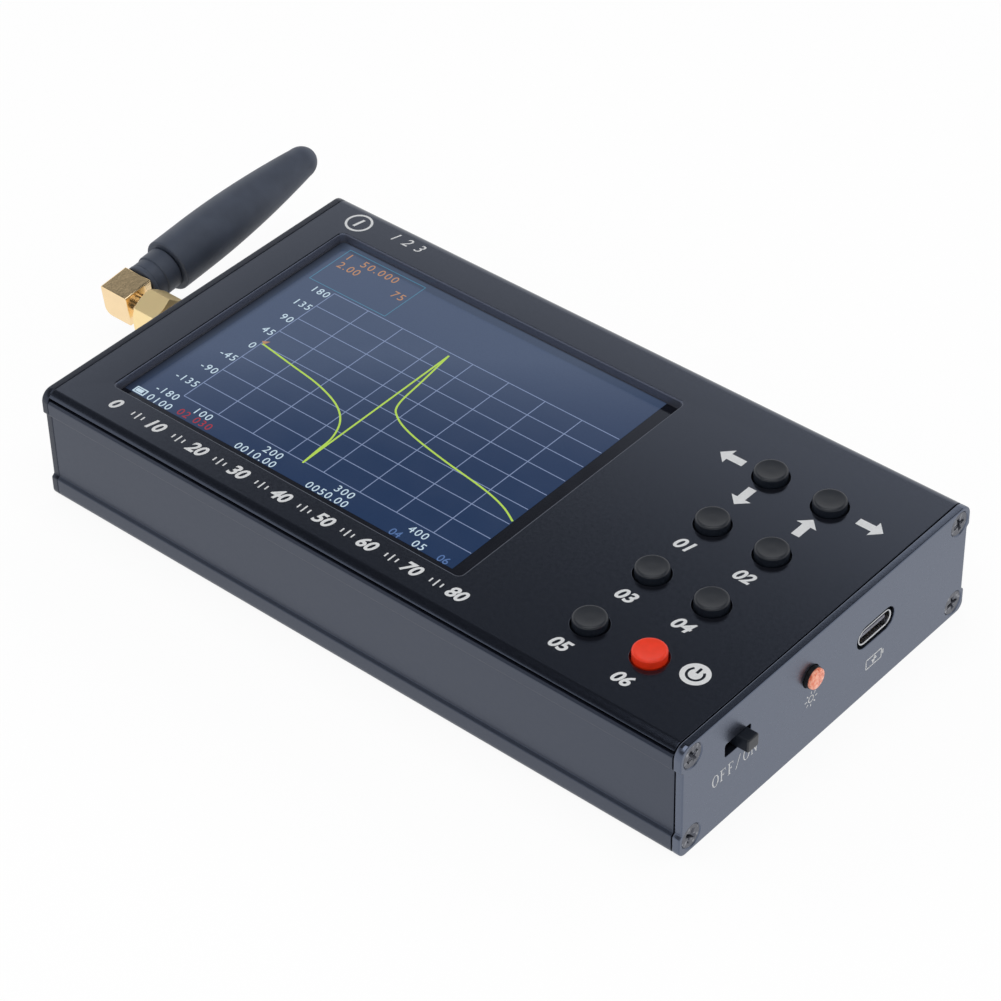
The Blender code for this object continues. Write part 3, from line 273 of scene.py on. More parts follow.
class Recipe:
    """A node tree whose nodes all come from one method."""

    def __init__(self, tree):
        self.tree = tree

    def node(self, kind, settings=None, inputs=None, output=0):
        """A node of a kind, with its settings set first, then its sockets' values or links."""
        made = self.tree.nodes.new(f"ShaderNode{kind}")
        for setting, value in (settings or {}).items():
            setattr(made, setting, value)
        for socket, value in (inputs or {}).items():
            self.feed(made.inputs[socket], value)
        return Signal(self, made.outputs[output])

    def feed(self, socket, value):
        if isinstance(value, Signal):
            self.tree.links.new(value.socket, socket)
        else:
            socket.default_value = value

    def parts(self, vector):
        """A vector's share along each of the three axes."""
        return [self.node("SeparateXYZ", None, {0: vector}, output=i) for i in range(3)]

    def risen(self, value, low, high, style="SMOOTHSTEP"):
        """0 below a low value and 1 above a high one, with a smooth or a linear rise between."""
        inputs = {"Value": value, "From Min": low, "From Max": high}
        return self.node("MapRange", {"interpolation_type": style}, inputs)

    def blended(self, factor, first, second):
        """A colour between two colours."""
        colours = [c if isinstance(c, Signal) else (*c, 1) for c in (first, second)]
        inputs = {0: factor, 6: colours[0], 7: colours[1]}
        return self.node("Mix", {"data_type": "RGBA"}, inputs, output=2)


class Finish(Recipe):
    """A surface: one shader with its constant values, and what varies over the piece."""

    def __init__(self, name, **constants):
        self.material = bpy.data.materials.new(name)
        self.material.use_nodes = True
        super().__init__(self.material.node_tree)
        self.shader = self.tree.nodes["Principled BSDF"]
        self.set(**constants)
        self.where = self.node("TexCoord", None, None, output=3)

    def set(self, **values):
        for name, value in values.items():
            if isinstance(value, tuple):
                value = (*value, 1)
            name = name.replace("_", " ").title().replace("Ior", "IOR")
            self.feed(self.shader.inputs[name], value)
        return self

    def fed(self, name):
        """What feeds one of the shader's sockets so far."""
        return Signal(self, self.shader.inputs[name].links[0].from_socket)

    def noise(self, size, detail=2.0, drawn_out=None):
        """Soft noise from 0 to 1, with lumps about a size across, drawn out by shares below 1."""
        where = self.where
        if drawn_out:
            where = self.node("VectorMath", {"operation": "MULTIPLY"}, {0: where, 1: drawn_out})
        inputs = {"Vector": where, "Scale": 1 / (size * MM), "Detail": detail}
        return self.node("TexNoise", None, inputs)

    def shaded(self, tone, spread, size):
        """A colour that wanders a little either side of a tone."""
        darker = tuple(c * (1 - spread) for c in tone)
        lighter = tuple(c * (1 + spread) for c in tone)
        return self.blended(self.noise(size), darker, lighter)

    def specks(self, cell, radius, share):
        """Small round specks, one in some of the cells of a given size."""
        inputs = {"Vector": self.where, "Scale": 1 / (cell * MM)}
        distance, lottery = [self.node("TexVoronoi", None, inputs, i) for i in (0, 1)]
        drawn = self.node("SeparateColor", None, {0: lottery}) < share
        return drawn * (distance < radius / cell)

    def rough(self, middle, spread, size):
        return self.set(roughness=self.noise(size) * (2 * spread) + (middle - spread))

    def bumped(self, height, depth, strength=1.0):
        inputs = {"Strength": strength, "Distance": depth * MM, "Height": height}
        return self.set(normal=self.node("Bump", None, inputs))


def anodised(name, tone, lines=0.0, ior=1.8, roughness=0.42, grit=0.012):
    """Blasted and anodised aluminium: a satin black skin, a fine grain and a few pale specks."""
    finish = Finish(name, ior=ior, specular_tint=SKIN_TINT)
    speck = finish.specks(*SKIN_DUST) * SKIN_DUST_SHARE
    body = finish.shaded(tone, 0.12, 9.0)
    finish.set(base_color=finish.blended(speck, body, tuple(4 * c + 0.03 for c in tone)))
    finish.rough(roughness, 0.05, 0.6)
    grain = finish.noise(0.22, 3.0)
    if lines:
        drawn = finish.noise(0.5, 3.0, (0.02, 1, 1))
        grain = grain * (1 - lines) + drawn * lines
    return finish.bumped(grain, grit, 0.6)


def dress(piece, finish, *nodes, body="root", crease=35):
    """Gives a piece its finish and smooth shading up to a crease, and the body it moves with."""
    piece.data.materials.clear()
    piece.data.materials.append(finish.material)
    piece.data.shade_smooth()
    piece.data.set_sharp_from_angle(angle=math.radians(crease))
    shading = piece.modifiers.new("shading", "WEIGHTED_NORMAL")
    shading.keep_sharp = True
    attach(piece, body)
    if nodes:
        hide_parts(*nodes)


def stepped_side(top):
    """The case's right side, going up from the underside to the points at its top."""
    return [
        (HALF_WIDTH, 0, BOTTOM_CORNER),
        (HALF_WIDTH, LEDGE_TOP, STEP_OUTER),
        (RECESS_HALF_WIDTH, RECESS_BOTTOM, STEP_INNER),
        (RECESS_HALF_WIDTH, RECESS_TOP, STEP_INNER),
        (HALF_WIDTH, LIP_BOTTOM, STEP_OUTER),
        *top,
    ]


corner_centre = (HALF_WIDTH - TOP_CORNER, case_top - TOP_CORNER)
shoulder_angle = math.degrees(math.asin((WALL_SHOULDER - corner_centre[1]) / TOP_CORNER))
wall_rim = (HALF_WIDTH - WALL_BREAK, WALL_TOP)
outer = stepped_side([*arc(corner_centre, TOP_CORNER, 0, shoulder_angle, 4), wall_rim])
inner = [(LIP_INNER, WALL_TOP), (LIP_INNER, INNER_STEP[1]), (WALL_INNER, INNER_STEP[0])]
for rib in RIB_BOTTOMS:
    rib_top = rib + RIB_HEIGHT
    inner += [(WALL_INNER, rib_top), (RIB_Y, rib_top), (RIB_Y, rib), (WALL_INNER, rib)]
port_high = math.degrees(math.acos((WALL_INNER - PORT_Y) / PORT_RADIUS))
port_low = 180 + math.degrees(math.asin((LOWER_PORT_Z - FLOOR_TOP) / PORT_RADIUS))
inner += arc((PORT_Y, LOWER_PORT_Z), PORT_RADIUS, port_high, port_low)
channel = filleted(outer + inner + mirrored(outer + inner))
shell_start = extent("antenna_end_plate")[1].x + PLATE_GAP
shell_end = extent("usb_end_plate")[0].x - SEAM_GAP
shell_finish = anodised("anodised_base", SHELL_TONE, **SHELL_SKIN)
base = solid("base_shell_surface", slab(channel, shell_start, shell_end, SAWN_EDGE, along_x))
dress(base, shell_finish, "base_shell")

# The top cover is the upper extrusion: a flat panel whose edges hook over the base's walls. The
# display window and the key holes are milled through it, and their rims are broken.
COVER_EDGE = 21.95
COVER_INNER_EDGE = 21.8
PANEL_BOTTOM = 21.2
UPPER_PORT_Z = 20.05
WINDOW_LOW = (-61.2, -28.7)
WINDOW_HIGH = (17.3, 28.95)
WINDOW_CORNER = 1.0
WINDOW_RIM = 0.3
KEY_COLUMNS = {"a": 40.37, "b": 52.34}
KEY_ROWS = (22.645, 7.065, -8.515, -24.095)
KEY_HOLE_RADIUS = 3.2
KEY_HOLE_RIM = 0.18
OVERRUN = 1.0
COVER_TONE = (0.0065, 0.007, 0.01)
COVER_SKIN = {"ior": 1.85, "roughness": 0.15, "grit": 0.003}
MILLED_TONE = (0.08, 0.087, 0.115)
MILLED_BRINK = 0.01
MILLED_DROP = 0.1


def circle(radius, centre=(0, 0), steps=64):
    return arc(centre, radius, 0, 360, steps)[:-1]


def rectangle(low, high, radius):
    """An upright rectangle between two corners, with all its corners rounded."""
    corners = [(low[0], low[1]), (high[0], low[1]), (high[0], high[1]), (low[0], high[1])]
    return filleted([(*corner, radius) for corner in corners])


def cutter(outline, bottom, surface, rim, place):
    """A cut down from a surface to a bottom, whose mouth flares out by a rim radius."""
    rings = [(0, bottom)]
    rings += [(-rise, surface - inward) for inward, rise in rounding(rim, 4)]
    rings.append((-rim, surface + OVERRUN))
    return stacked(outline, rings, place)


def baked(thing):
    """A new mesh of an object as its modifiers or its text leave it."""
    result = thing.evaluated_get(bpy.context.evaluated_depsgraph_get())
    return bpy.data.meshes.new_from_object(result)


def carved(piece, *cuts, operation="DIFFERENCE"):
    """The piece less each cut, or only what it shares with it, as one finished mesh."""
    for i, cut in enumerate(cuts):
        tool = solid(f"{piece.name}_cut_{i}", cut)
        modifier = piece.modifiers.new("carved", "BOOLEAN")
        modifier.solver = "EXACT"
        modifier.operation = operation
        modifier.object = tool
        mesh = baked(piece)
        piece.modifiers.clear()
        piece.data = mesh
        bpy.data.objects.remove(tool)
    return piece


key_places = {
    f"{column}{row}": (x, y)
    for column, x in KEY_COLUMNS.items()
    for row, y in enumerate(KEY_ROWS, start=1)
}
seam_angle = math.degrees(math.asin((COVER_EDGE - corner_centre[1]) / TOP_CORNER))
half_section = [
    (PORT_Y - PORT_RADIUS, PANEL_BOTTOM),
    *arc((PORT_Y, UPPER_PORT_Z), PORT_RADIUS, -180, 0),
    (PORT_Y + PORT_RADIUS, COVER_INNER_EDGE),
    *arc(corner_centre, TOP_CORNER, seam_angle, 90, 14),
]
section = half_section + mirrored(half_section)
cover = solid("top_cover_surface", slab(section, shell_start, shell_end, SAWN_EDGE, along_x))
window = rectangle(WINDOW_LOW, WINDOW_HIGH, WINDOW_CORNER)
openings = [(window, WINDOW_RIM)]
openings += [(circle(KEY_HOLE_RADIUS, place), KEY_HOLE_RIM) for place in key_places.values()]
for outline, rim in openings:
    carved(cover, cutter(outline, PANEL_BOTTOM - OVERRUN, case_top, rim, upright))
cover_finish = anodised("anodised_cover", COVER_TONE, **COVER_SKIN)
place_x, place_y, place_z = cover_finish.parts(cover_finish.where)
under_brink = place_z < (case_top - MILLED_DROP) * MM
far_side = (place_y > WINDOW_HIGH[1] * MM) * (place_z < (case_top - MILLED_BRINK) * MM)
milled_out = WINDOW_RIM + MILLED_BRINK
milled = under_brink.maximum(far_side)
for place, start, end in (
    (place_x, WINDOW_LOW[0] - milled_out, WINDOW_HIGH[0] + milled_out),
    (place_y, WINDOW_LOW[1] + MILLED_BRINK, WINDOW_HIGH[1] + milled_out),
):
    milled = milled * (place > start * MM) * (place < end * MM)
milled_skin = cover_finish.blended(milled, cover_finish.fed("Base Color"), MILLED_TONE)
dress(cover, cover_finish.set(base_color=milled_skin), "top_cover")

# An end plate closes each end of the two extrusions. It is 1.5 mm aluminium sheet, cut to the
# case's own outline, with broken edges, countersunk corners and holes for what passes through.
PLATE_EDGE = 0.25
# Painted light: the socket-end plate is given a lighter tone than the far plate of the same sheet.
PLATE_PAINTED_LIGHT_TONE = (0.011, 0.012, 0.017)
PLATE_SKIN = {"ior": 2.4, "roughness": 0.29, "grit": 0.006}
PLATE_RIM_POLISH = 0.17
FAR_PLATE_SKIN = {"ior": 1.6, "roughness": 0.29}
SINK_RADIUS = 2.4
SINK_THROAT = 1.35
SOCKET_CENTRE = (12.5, 13.03)
SOCKET_HALF_WIDTH = 5.07
SOCKET_HALF_HEIGHT = 2.23
LIGHT_CENTRE = (-4.9, 15.0)
LIGHT_HOLE_RADIUS = 2.08
SLOT_LOW = (-26.95, 13.67)
SLOT_HIGH = (-20.45, 16.32)
SLOT_CORNER = 0.4
HOLE_RIM = 0.15
BARREL_HOLE_RADIUS = 3.4
AXIS = (0, 12.0)
HAIR = 0.01


def minus_x(u, v, height):
    return (-height, u, v)


def hoops(profile, place, centre=(0, 0), steps=64):
    """Rings round an axis, from a profile of (radius, height)."""
    return [[place(u, v, h) for u, v in circle(radius, centre, steps)] for radius, h in profile]


def spun(profile, place, centre=(0, 0), steps=64, hoop=False):
    """A skin turned round an axis, from a profile of (radius, height)."""
    return skin(hoops(profile, place, centre, steps), hoop)


def centred(centre, half_width, half_height, radius):
    """An upright rectangle about its centre, with all its corners rounded."""
    u, v = centre
    return rectangle((u - half_width, v - half_height), (u + half_width, v + half_height), radius)


corner_places = [(side * PORT_Y, z) for z in (UPPER_PORT_Z, LOWER_PORT_Z) for side in (-1, 1)]
half_plate = stepped_side([(HALF_WIDTH, case_top, TOP_CORNER)])
plate_outline = filleted(half_plate + mirrored(half_plate), steps=10)
plate_back, plate_face = [corner.x for corner in extent("usb_end_plate")]
# The socket-end plate's lighter tone is painted light; the far plate keeps the cover's tone.
plate_finish = anodised("anodised_plate_painted_light", PLATE_PAINTED_LIGHT_TONE, **PLATE_SKIN)
plate_rim = plate_finish.parts(plate_finish.where)[2] > (case_top - PLATE_EDGE) * MM
plate_finish.set(roughness=plate_finish.fed("Roughness") - plate_rim * PLATE_RIM_POLISH)
far_plate_finish = anodised("anodised_far_plate", COVER_TONE, **FAR_PLATE_SKIN)
plates = {
    "usb": (along_x, plate_finish, [
        centred(SOCKET_CENTRE, SOCKET_HALF_WIDTH, SOCKET_HALF_HEIGHT, SOCKET_HALF_HEIGHT - HAIR),
        circle(LIGHT_HOLE_RADIUS, LIGHT_CENTRE),
        rectangle(SLOT_LOW, SLOT_HIGH, SLOT_CORNER),
    ]),
    "antenna": (minus_x, far_plate_finish, [circle(BARREL_HOLE_RADIUS, AXIS)]),
}
throat_end = plate_face - (SINK_RADIUS - SINK_THROAT)
sink = [(SINK_THROAT, plate_back - OVERRUN), (SINK_THROAT, throat_end)]
sink += [(SINK_RADIUS, plate_face), (SINK_RADIUS + OVERRUN, plate_face + OVERRUN)]
for end, (place, finish, holes) in plates.items():
    name = f"{end}_end_plate"
    plate = solid(f"{name}_surface", slab(plate_outline, plate_back, plate_face, PLATE_EDGE, place))
    cuts = [cutter(hole, plate_back - OVERRUN, plate_face, HOLE_RIM, place) for hole in holes]
    cuts += [spun(sink, place, corner, 48) for corner in corner_places]
    dress(carved(plate, *cuts), finish, name)

# The end screws are blackened steel, countersunk and cross-recessed, four to a plate. The
# driver has worn the black off the edges of the crosses; here it is worn off in patches.
SCREW_DEPTH = 0.12
SCREW_RADIUS = 2.2
SHANK_RADIUS = 1.1
SCREW_LENGTH = 8.1
SCREW_POINT = 0.6
HEAD_RIM = 0.12
CROSS_MOUTH = (1.3, 0.32)
CROSS_FOOT = (0.5, 0.16)
CROSS_DEPTH = 1.0
CROSS_FLARE = 0.1
SCREW_BLACK = (0.1, 0.105, 0.125)
SCREW_WORN = (0.32, 0.33, 0.36)
random.seed(7)


def swung(points, angle, centre):
    """Points turned by an angle about the origin, then moved so that it lies on a centre."""
    aim = Matrix.Rotation(angle, 2)
    return [tuple(Vector(centre) + aim @ Vector(point)) for point in points]


def cross(reach, half_width, turn, centre):
    """The outline of a cross with equal arms, turned about its centre."""
    arm = [(reach, -half_width), (reach, half_width), (half_width, half_width)]
    points = []
    for quarter in range(4):
        points += swung(arm, turn + quarter * math.pi / 2, centre)
    return points


def cross_cut(top, turn, centre, place):
    """A driver's cross, which narrows as it goes down from a screw's top."""
    flared = [size + CROSS_FLARE for size in CROSS_MOUTH]
    rings = [(CROSS_FOOT, top - CROSS_DEPTH), (CROSS_MOUTH, top - CROSS_FLARE)]
    rings += [(flared, top), (flared, top + OVERRUN)]
    return skin([[place(u, v, h) for u, v in cross(*size, turn, centre)] for size, h in rings])


screw_finish = Finish("blackened_steel", metallic=1.0, specular_ior_level=0.5)
wear = screw_finish.risen(screw_finish.noise(0.9), 0.5, 0.8)
screw_finish.set(base_color=screw_finish.blended(wear, SCREW_BLACK, SCREW_WORN))
screw_finish.rough(0.27, 0.04, 0.4)
screw_finish.bumped(screw_finish.noise(0.12), 0.01)
screw_top = plate_face - SCREW_DEPTH
screw_profile = [
    (SHANK_RADIUS - SCREW_POINT, plate_face - SCREW_LENGTH),
    (SHANK_RADIUS, plate_face - SCREW_LENGTH + SCREW_POINT),
    (SHANK_RADIUS, screw_top - (SCREW_RADIUS - SHANK_RADIUS)),
    (SCREW_RADIUS, screw_top - HEAD_RIM),
    *arc((SCREW_RADIUS - HEAD_RIM, screw_top - HEAD_RIM), HEAD_RIM, 0, 90, 4),
]
for end, (place, _, _) in plates.items():
    for i, corner in enumerate(corner_places, start=1):
        name = f"{end}_plate_screw_{i}"
        screw = solid(f"{name}_surface", spun(screw_profile, place, corner, 48))
        turn = random.uniform(0, math.pi / 2)
        carved(screw, cross_cut(screw_top, turn, corner, place))
        dress(screw, screw_finish, name)

# The boards and what stands on them are inside the case. They are green boards with plated
# spacers, a tinned shield can, black moulded parts and a silver pouch cell.
BOARD_DEEP = (0.008, 0.07, 0.03)
BOARD_PALE = (0.015, 0.11, 0.05)


def even_finish(name, tone, mottle, gloss, grain=None, drawn_out=None, **constants):
    """One tone with a mottle (spread, size), a gloss (middle, spread, size) and a fine grain.

    A grain is (size, depth). It may be drawn out along the piece's axes.
    """
    finish = Finish(name, **constants)
    finish.set(base_color=finish.shaded(tone, *mottle))
    if grain:
        finish.bumped(finish.noise(grain[0], drawn_out=drawn_out), grain[1])
    return finish.rough(*gloss)


board_finish = Finish("solder_mask", roughness=0.35, coat_weight=0.3)
weave = board_finish.noise(0.4, drawn_out=(1, 0.2, 1)) * 0.5
weave = weave + board_finish.noise(0.4, drawn_out=(0.2, 1, 1)) * 0.5
board_finish.set(base_color=board_finish.blended(weave, BOARD_DEEP, BOARD_PALE))
board_finish.bumped(weave, 0.02)
steel_finish = even_finish(
    "bright_steel", (0.55, 0.56, 0.58), (0.08, 0.8), (0.26, 0.08, 0.3), (0.15, 0.006), (1, 0.1, 1),
    metallic=1.0,
)
pouch_finish = even_finish(
    "laminated_pouch", (0.6, 0.62, 0.64), (0.06, 6.0), (0.38, 0.06, 2.0), (5.0, 0.2), metallic=0.8
)
moulded_finish = even_finish(
    "moulded_black", (0.012, 0.012, 0.014), (0.2, 1.5), (0.4, 0.08, 0.5), (0.15, 0.01),
    specular_ior_level=0.4,
)
insulator_finish = even_finish("fluoropolymer", (0.78, 0.78, 0.75), (0.03, 1.0), (0.4, 0.05, 0.5))
inner_parts = {
    board_finish: ["main_board", "display_board"],
    steel_finish: ["lcd_tray", "rf_shield_can", "slide_switch_body", "antenna_element"],
    pouch_finish: ["battery_cell"],
    moulded_finish: ["processor_chip"] + [f"tact_switch_{key}" for key in key_places],
    insulator_finish: ["sma_insulator"],
}
inner_parts[steel_finish] += [f"display_spacer_{i}" for i in range(1, 5)]
for finish, names in inner_parts.items():
    for name in names:
        for material_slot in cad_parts[name].material_slots:
            material_slot.material = finish.material

# The display's four pan head screws are bright steel. They stand at the display's corners, and
# the cover and the glass hide them once the case is shut.
PAN_RADIUS = 2.6
PAN_ROUNDING = 0.7
PAN_HEIGHT = 1.7
PAN_BREAK = 0.1
PAN_SHANK = 1.0
PAN_CROSS_TURN = 0.4
for i in range(1, 5):
    low, high = extent(f"display_screw_{i}")
    seat = high.z - PAN_HEIGHT
    profile = [
        (PAN_SHANK, low.z),
        (PAN_SHANK, seat),
        (PAN_RADIUS - PAN_BREAK, seat),
        (PAN_RADIUS, seat + PAN_BREAK),
        *arc((PAN_RADIUS - PAN_ROUNDING, high.z - PAN_ROUNDING), PAN_ROUNDING, 0, 90, 6),
    ]
    centre = ((low.x + high.x) / 2, (low.y + high.y) / 2)
    screw = solid(f"display_screw_{i}_surface", spun(profile, upright, centre, 48))
    carved(screw, cross_cut(high.z, PAN_CROSS_TURN + i, centre, upright))
    dress(screw, steel_finish, f"display_screw_{i}")

# The display is a liquid crystal panel under a glossy cover sheet that reaches past the window
# all round, with a black gasket between the two. Its lit picture stops short of the right edge.
# Its glow pales towards the far left, partly its own uneven glow and partly a painted reflection.
# A painted grey reflection of the window's far and left walls lies along them, and painted shade
# darkens the picture at those two walls.
GLASS_LOW = (-62.3, -29.4)
GLASS_HIGH = (18.4, 29.4)
GLASS_THICKNESS = 0.25
GLASS_EDGE = 0.05
PANEL_CORNER = 0.4
PANEL_EDGE = 0.1
GASKET_WIDTH = 0.9
PICTURE_LOW = (-61.1, -26.3)
PICTURE_HIGH = (13.55, 29.2)
PICTURE_CORNER = 0.1
FILM = 0.03
PICTURE_DEEP = (0.006, 0.027, 0.083)
# Where the picture pales, this is partly its own uneven glow and partly painted reflection of the
# bright surround.
PICTURE_PALE_PAINTED_SHEEN = (0.052, 0.082, 0.152)
GLOW_AND_PAINTED_SHEEN_LEAN = 1.4
GLOW_AND_PAINTED_SHEEN_REACH = (-0.015, 0.045)
GLOW_AND_PAINTED_SHEEN_POWER = 2.0
GLOW_AND_PAINTED_SHEEN_MOTTLE = 0.05
# Painted shade along the window's far and left walls.
EDGE_SHADE = 0.6
LEFT_SHADE = (-0.6, 2.6)
# A painted grey reflection of the window's far and left walls on the picture.
PAINTED_WALL_REFLECTION = (0.1, 0.115, 0.14)
PAINTED_WALL_REFLECTION_SHARE = 0.45
FAR_WALL_REFLECTION_REACH = (2.4, 1.8)
LEFT_WALL_REFLECTION_REACH = (1.9, 1.3)
PIXEL_SIZE = 0.23
PIXEL_SHARE = 0.12
PIXEL_TONE = (0.0, 0.0, 0.02)
mask_finish = even_finish(
    "display_mask", (0.009, 0.0095, 0.0135), (0.3, 8.0), (0.12, 0.03, 4.0), specular_tint=SKIN_TINT
)
panel_low, panel_high = extent("lcd_panel")
picture_z = panel_high.z
sheet_bottom = picture_z - GLASS_THICKNESS
panel = rectangle(panel_low[:2], panel_high[:2], PANEL_CORNER)
glass = rectangle(GLASS_LOW, GLASS_HIGH, PANEL_CORNER)
cell = slab(panel, panel_low.z, sheet_bottom, PANEL_EDGE, upright)
sheet = slab(glass, sheet_bottom, picture_z, GLASS_EDGE, upright)
dress(solid("lcd_panel_surface", cell, sheet), mask_finish, "lcd_panel")
gasket_finish = even_finish(
    "gasket_foam", (0.06, 0.064, 0.085), (0.2, 1.0), (0.7, 0.05, 1.0), (0.3, 0.02),
    specular_ior_level=0.3,
)
rings = [(0, picture_z), (0, PANEL_BOTTOM)]
rings += [(-GASKET_WIDTH, PANEL_BOTTOM), (-GASKET_WIDTH, picture_z)]
gasket = stacked(window, rings, upright, hoop=True)
dress(solid("display_gasket", gasket), gasket_finish)
picture_finish = even_finish(
    "lit_picture", (0.004, 0.004, 0.008), (0.2, 5.0), (0.16, 0.03, 5.0), specular_ior_level=0.5
)
picture_x, picture_y, _ = picture_finish.parts(picture_finish.where)
# The picture pales towards the far left: partly its own uneven glow, partly a painted reflection.
lean = picture_y * GLOW_AND_PAINTED_SHEEN_LEAN - picture_x
glow_and_painted_sheen = picture_finish.risen(lean, *GLOW_AND_PAINTED_SHEEN_REACH, "LINEAR") ** GLOW_AND_PAINTED_SHEEN_POWER
mottle = picture_finish.noise(25.0)
glow_and_painted_sheen = glow_and_painted_sheen * (1 - GLOW_AND_PAINTED_SHEEN_MOTTLE) + mottle * GLOW_AND_PAINTED_SHEEN_MOTTLE
left, far = PICTURE_LOW[0], PICTURE_HIGH[1]
# Painted shade: the glow fades to black towards the window's left and far walls.
shade_x = [(left + place) * MM for place in LEFT_SHADE]
shade_y = [(far + place) * MM for place in (EDGE_SHADE, -EDGE_SHADE)]
shade = picture_finish.risen(picture_x, *shade_x, "LINEAR")
shade = shade * picture_finish.risen(picture_y, *shade_y, "LINEAR")
# Painted reflection of the window's walls, laid over the glow along the far and left walls.
by_far = picture_finish.risen(picture_y, *[(far - place) * MM for place in FAR_WALL_REFLECTION_REACH])
by_left = picture_finish.risen(picture_x, *[(left + place) * MM for place in LEFT_WALL_REFLECTION_REACH])
painted_wall_reflection = by_far.maximum(by_left) * glow_and_painted_sheen * PAINTED_WALL_REFLECTION_SHARE
pixels = picture_finish.noise(PIXEL_SIZE, 0.0) * PIXEL_SHARE
glow = picture_finish.blended(glow_and_painted_sheen, PICTURE_DEEP, PICTURE_PALE_PAINTED_SHEEN)
glow = picture_finish.blended(painted_wall_reflection, glow, PAINTED_WALL_REFLECTION)
glow = picture_finish.blended(pixels, glow, PIXEL_TONE)
glow = picture_finish.blended(shade, (0.0, 0.0, 0.0), glow)
picture_finish.set(emission_color=glow, emission_strength=1.0)
picture = rectangle(PICTURE_LOW, PICTURE_HIGH, PICTURE_CORNER)
picture = slab(picture, picture_z, picture_z + FILM, FILM / 3, upright)
dress(solid("lit_picture", picture), picture_finish)

# The picture shows a plot: a grid, a scale of degrees, one trace with a marker, and rows of
# plain numbers round it. Each colour is a thin lit film on the picture.
LINE_FILM = 0.02
AXIS_X = -51.55
GRID_RIGHT = 13.45
GRID_TOP = 16.3
GRID_STEP = (8.13, 4.73)
GRID_CELLS = 8
GRID_LINE = 0.16
TRACE_LINE = 0.34
UPRIGHT_LAYER = 1.2
TRACE_LAYERS = (1.6, 1.8, 2.0)
MARKER_LAYER = 2.4
MARKER = ((-51.9, -1.9), (-51.0, -2.4), (-50.6, -1.2))
DIGIT_HEIGHT = 1.65
DIGIT_SPACING = 1.2
DEGREES_SHIFT = (-0.35, -1.15)
SCALE_PLACE = (-45.3, -23.1)
FOOT_Y = -25.4
FOOT_WORDS = (("0100", -53.6), ("0010.00", -31.0), ("0050.00", -14.7), ("05", 5.6))
RED_WORDS = (("02 030", -45.6),)
RED_Y = -25.0
BLUE_WORDS = (("04", 0.6), ("06", 11.0))
BLUE_Y = -25.5
BATTERY = ((-59.6, -26.1), (-57.0, -24.5), 0.15)
BATTERY_LINE = 0.26
CHARGE = ((-59.2, -25.7), (-57.7, -24.9), 0.05)
READING_BOX = ((-58.3, 16.9), (-40.1, 27.9), 0.1)
READING_LINE = 0.15
READING_HEIGHT = 1.8
READINGS = (
    ("1  50.000", (-57.0, 26.1), 0.0, 1.25), ("2.00", (-57.0, 23.4), 0.0, 1.15),
    ("75", (-41.0, 22.9), 1.0, 1.2),
)
falling = [(-51.3, -2.4), (-43.3, -3.6), (-36.0, -4.75), (-30.0, -6.75), (-26.2, -9.7)]
falling += [(-24.2, -13.8), (-23.8, -18.0), (-23.45, -21.9)]
rising = [(-23.45, -21.9), (-23.86, 15.5)]
settling = [(-23.86, 15.5), (-22.7, 7.4), (-21.6, 0.0), (-19.4, -2.8), (-14.5, -4.8)]
settling += [(-6.0, -6.45), (4.5, -8.0), (9.8, -9.4), (13.4, -11.2)]


def curve_through(points, steps=8):
    """A smooth curve through its points."""
    ends = [points[0], *points, points[-1]]
    smooth = []
    for before, start, stop, after in zip(ends, ends[1:], ends[2:], ends[3:]):
        for i in range(steps):
            t = i / steps
            smooth.append(tuple(
                0.5 * (2 * b + (c - a) * t + (2 * a - 5 * b + 4 * c - d) * t**2
                       + (3 * b - a - 3 * c + d) * t**3)
                for a, b, c, d in zip(before, start, stop, after)
            ))
    return [*smooth, points[-1]]


def ribbon(points, width):
    """The outline of a line of a width, through its points."""
    sides = []
    for i, point in enumerate(points):
        before = Vector(points[i - 1] if i else points[0])
        after = Vector(points[i + 1] if i + 1 < len(points) else points[-1])
        along = (after - before).normalized()
        sides.append((Vector(point), Vector((-along.y, along.x)) * width / 2))
    return [tuple(p - s) for p, s in sides] + [tuple(p + s) for p, s in reversed(sides)]


def film(outline, low, place=upright, layers=1.0):
    """A thin flat skin over an outline, standing on a height."""
    return skin([[place(u, v, h) for u, v in outline] for h in (low, low + LINE_FILM * layers)])


def frame_film(outline, width, low, place=upright):
    """A thin flat border of a width, inside a closed outline."""
    high = low + LINE_FILM
    return stacked(outline, [(0, low), (0, high), (width, high), (width, low)], place, hoop=True)


def lettering(words, height, centre, low, slant=0.0, weight=0.0, align=0.5, spacing=1.0):
    """Plain letters or numbers of a height, as thin raised faces round a centre point."""
    text = bpy.data.curves.new(words, "FONT")
    text.body = words
    text.shear = slant
    text.offset = weight
    text.extrude = 0.5
    text.space_character = spacing
    text.resolution_u = 4
    guide = placed(words, text)
    body = bmesh.new()
    body.from_mesh(baked(guide))
    bpy.data.objects.remove(guide)
    bmesh.ops.remove_doubles(body, verts=body.verts, dist=0.0001)
    body.verts.index_update()
    corners = [vertex.co.copy() for vertex in body.verts]
    faces = [tuple(vertex.index for vertex in face.verts) for face in body.faces]
    body.free()
    us, vs, _ = zip(*corners)
    scale = height / (max(vs) - min(vs))
    middle = (min(us) + (max(us) - min(us)) * align, (max(vs) + min(vs)) / 2)
    shift = [at - part * scale for at, part in zip(centre, middle)]
    heights = (low, low + LINE_FILM)
    return [
        (shift[0] + u * scale, shift[1] + v * scale, heights[h > 0]) for u, v, h in corners
    ], faces


def number_row(places, y, align=0.5, spacing=DIGIT_SPACING):
    """Plain numbers at one height on the picture, each given as (words, x)."""
    return [
        lettering(words, DIGIT_HEIGHT, (x, y), line_z, align=align, spacing=spacing)
        for words, x in places
    ]


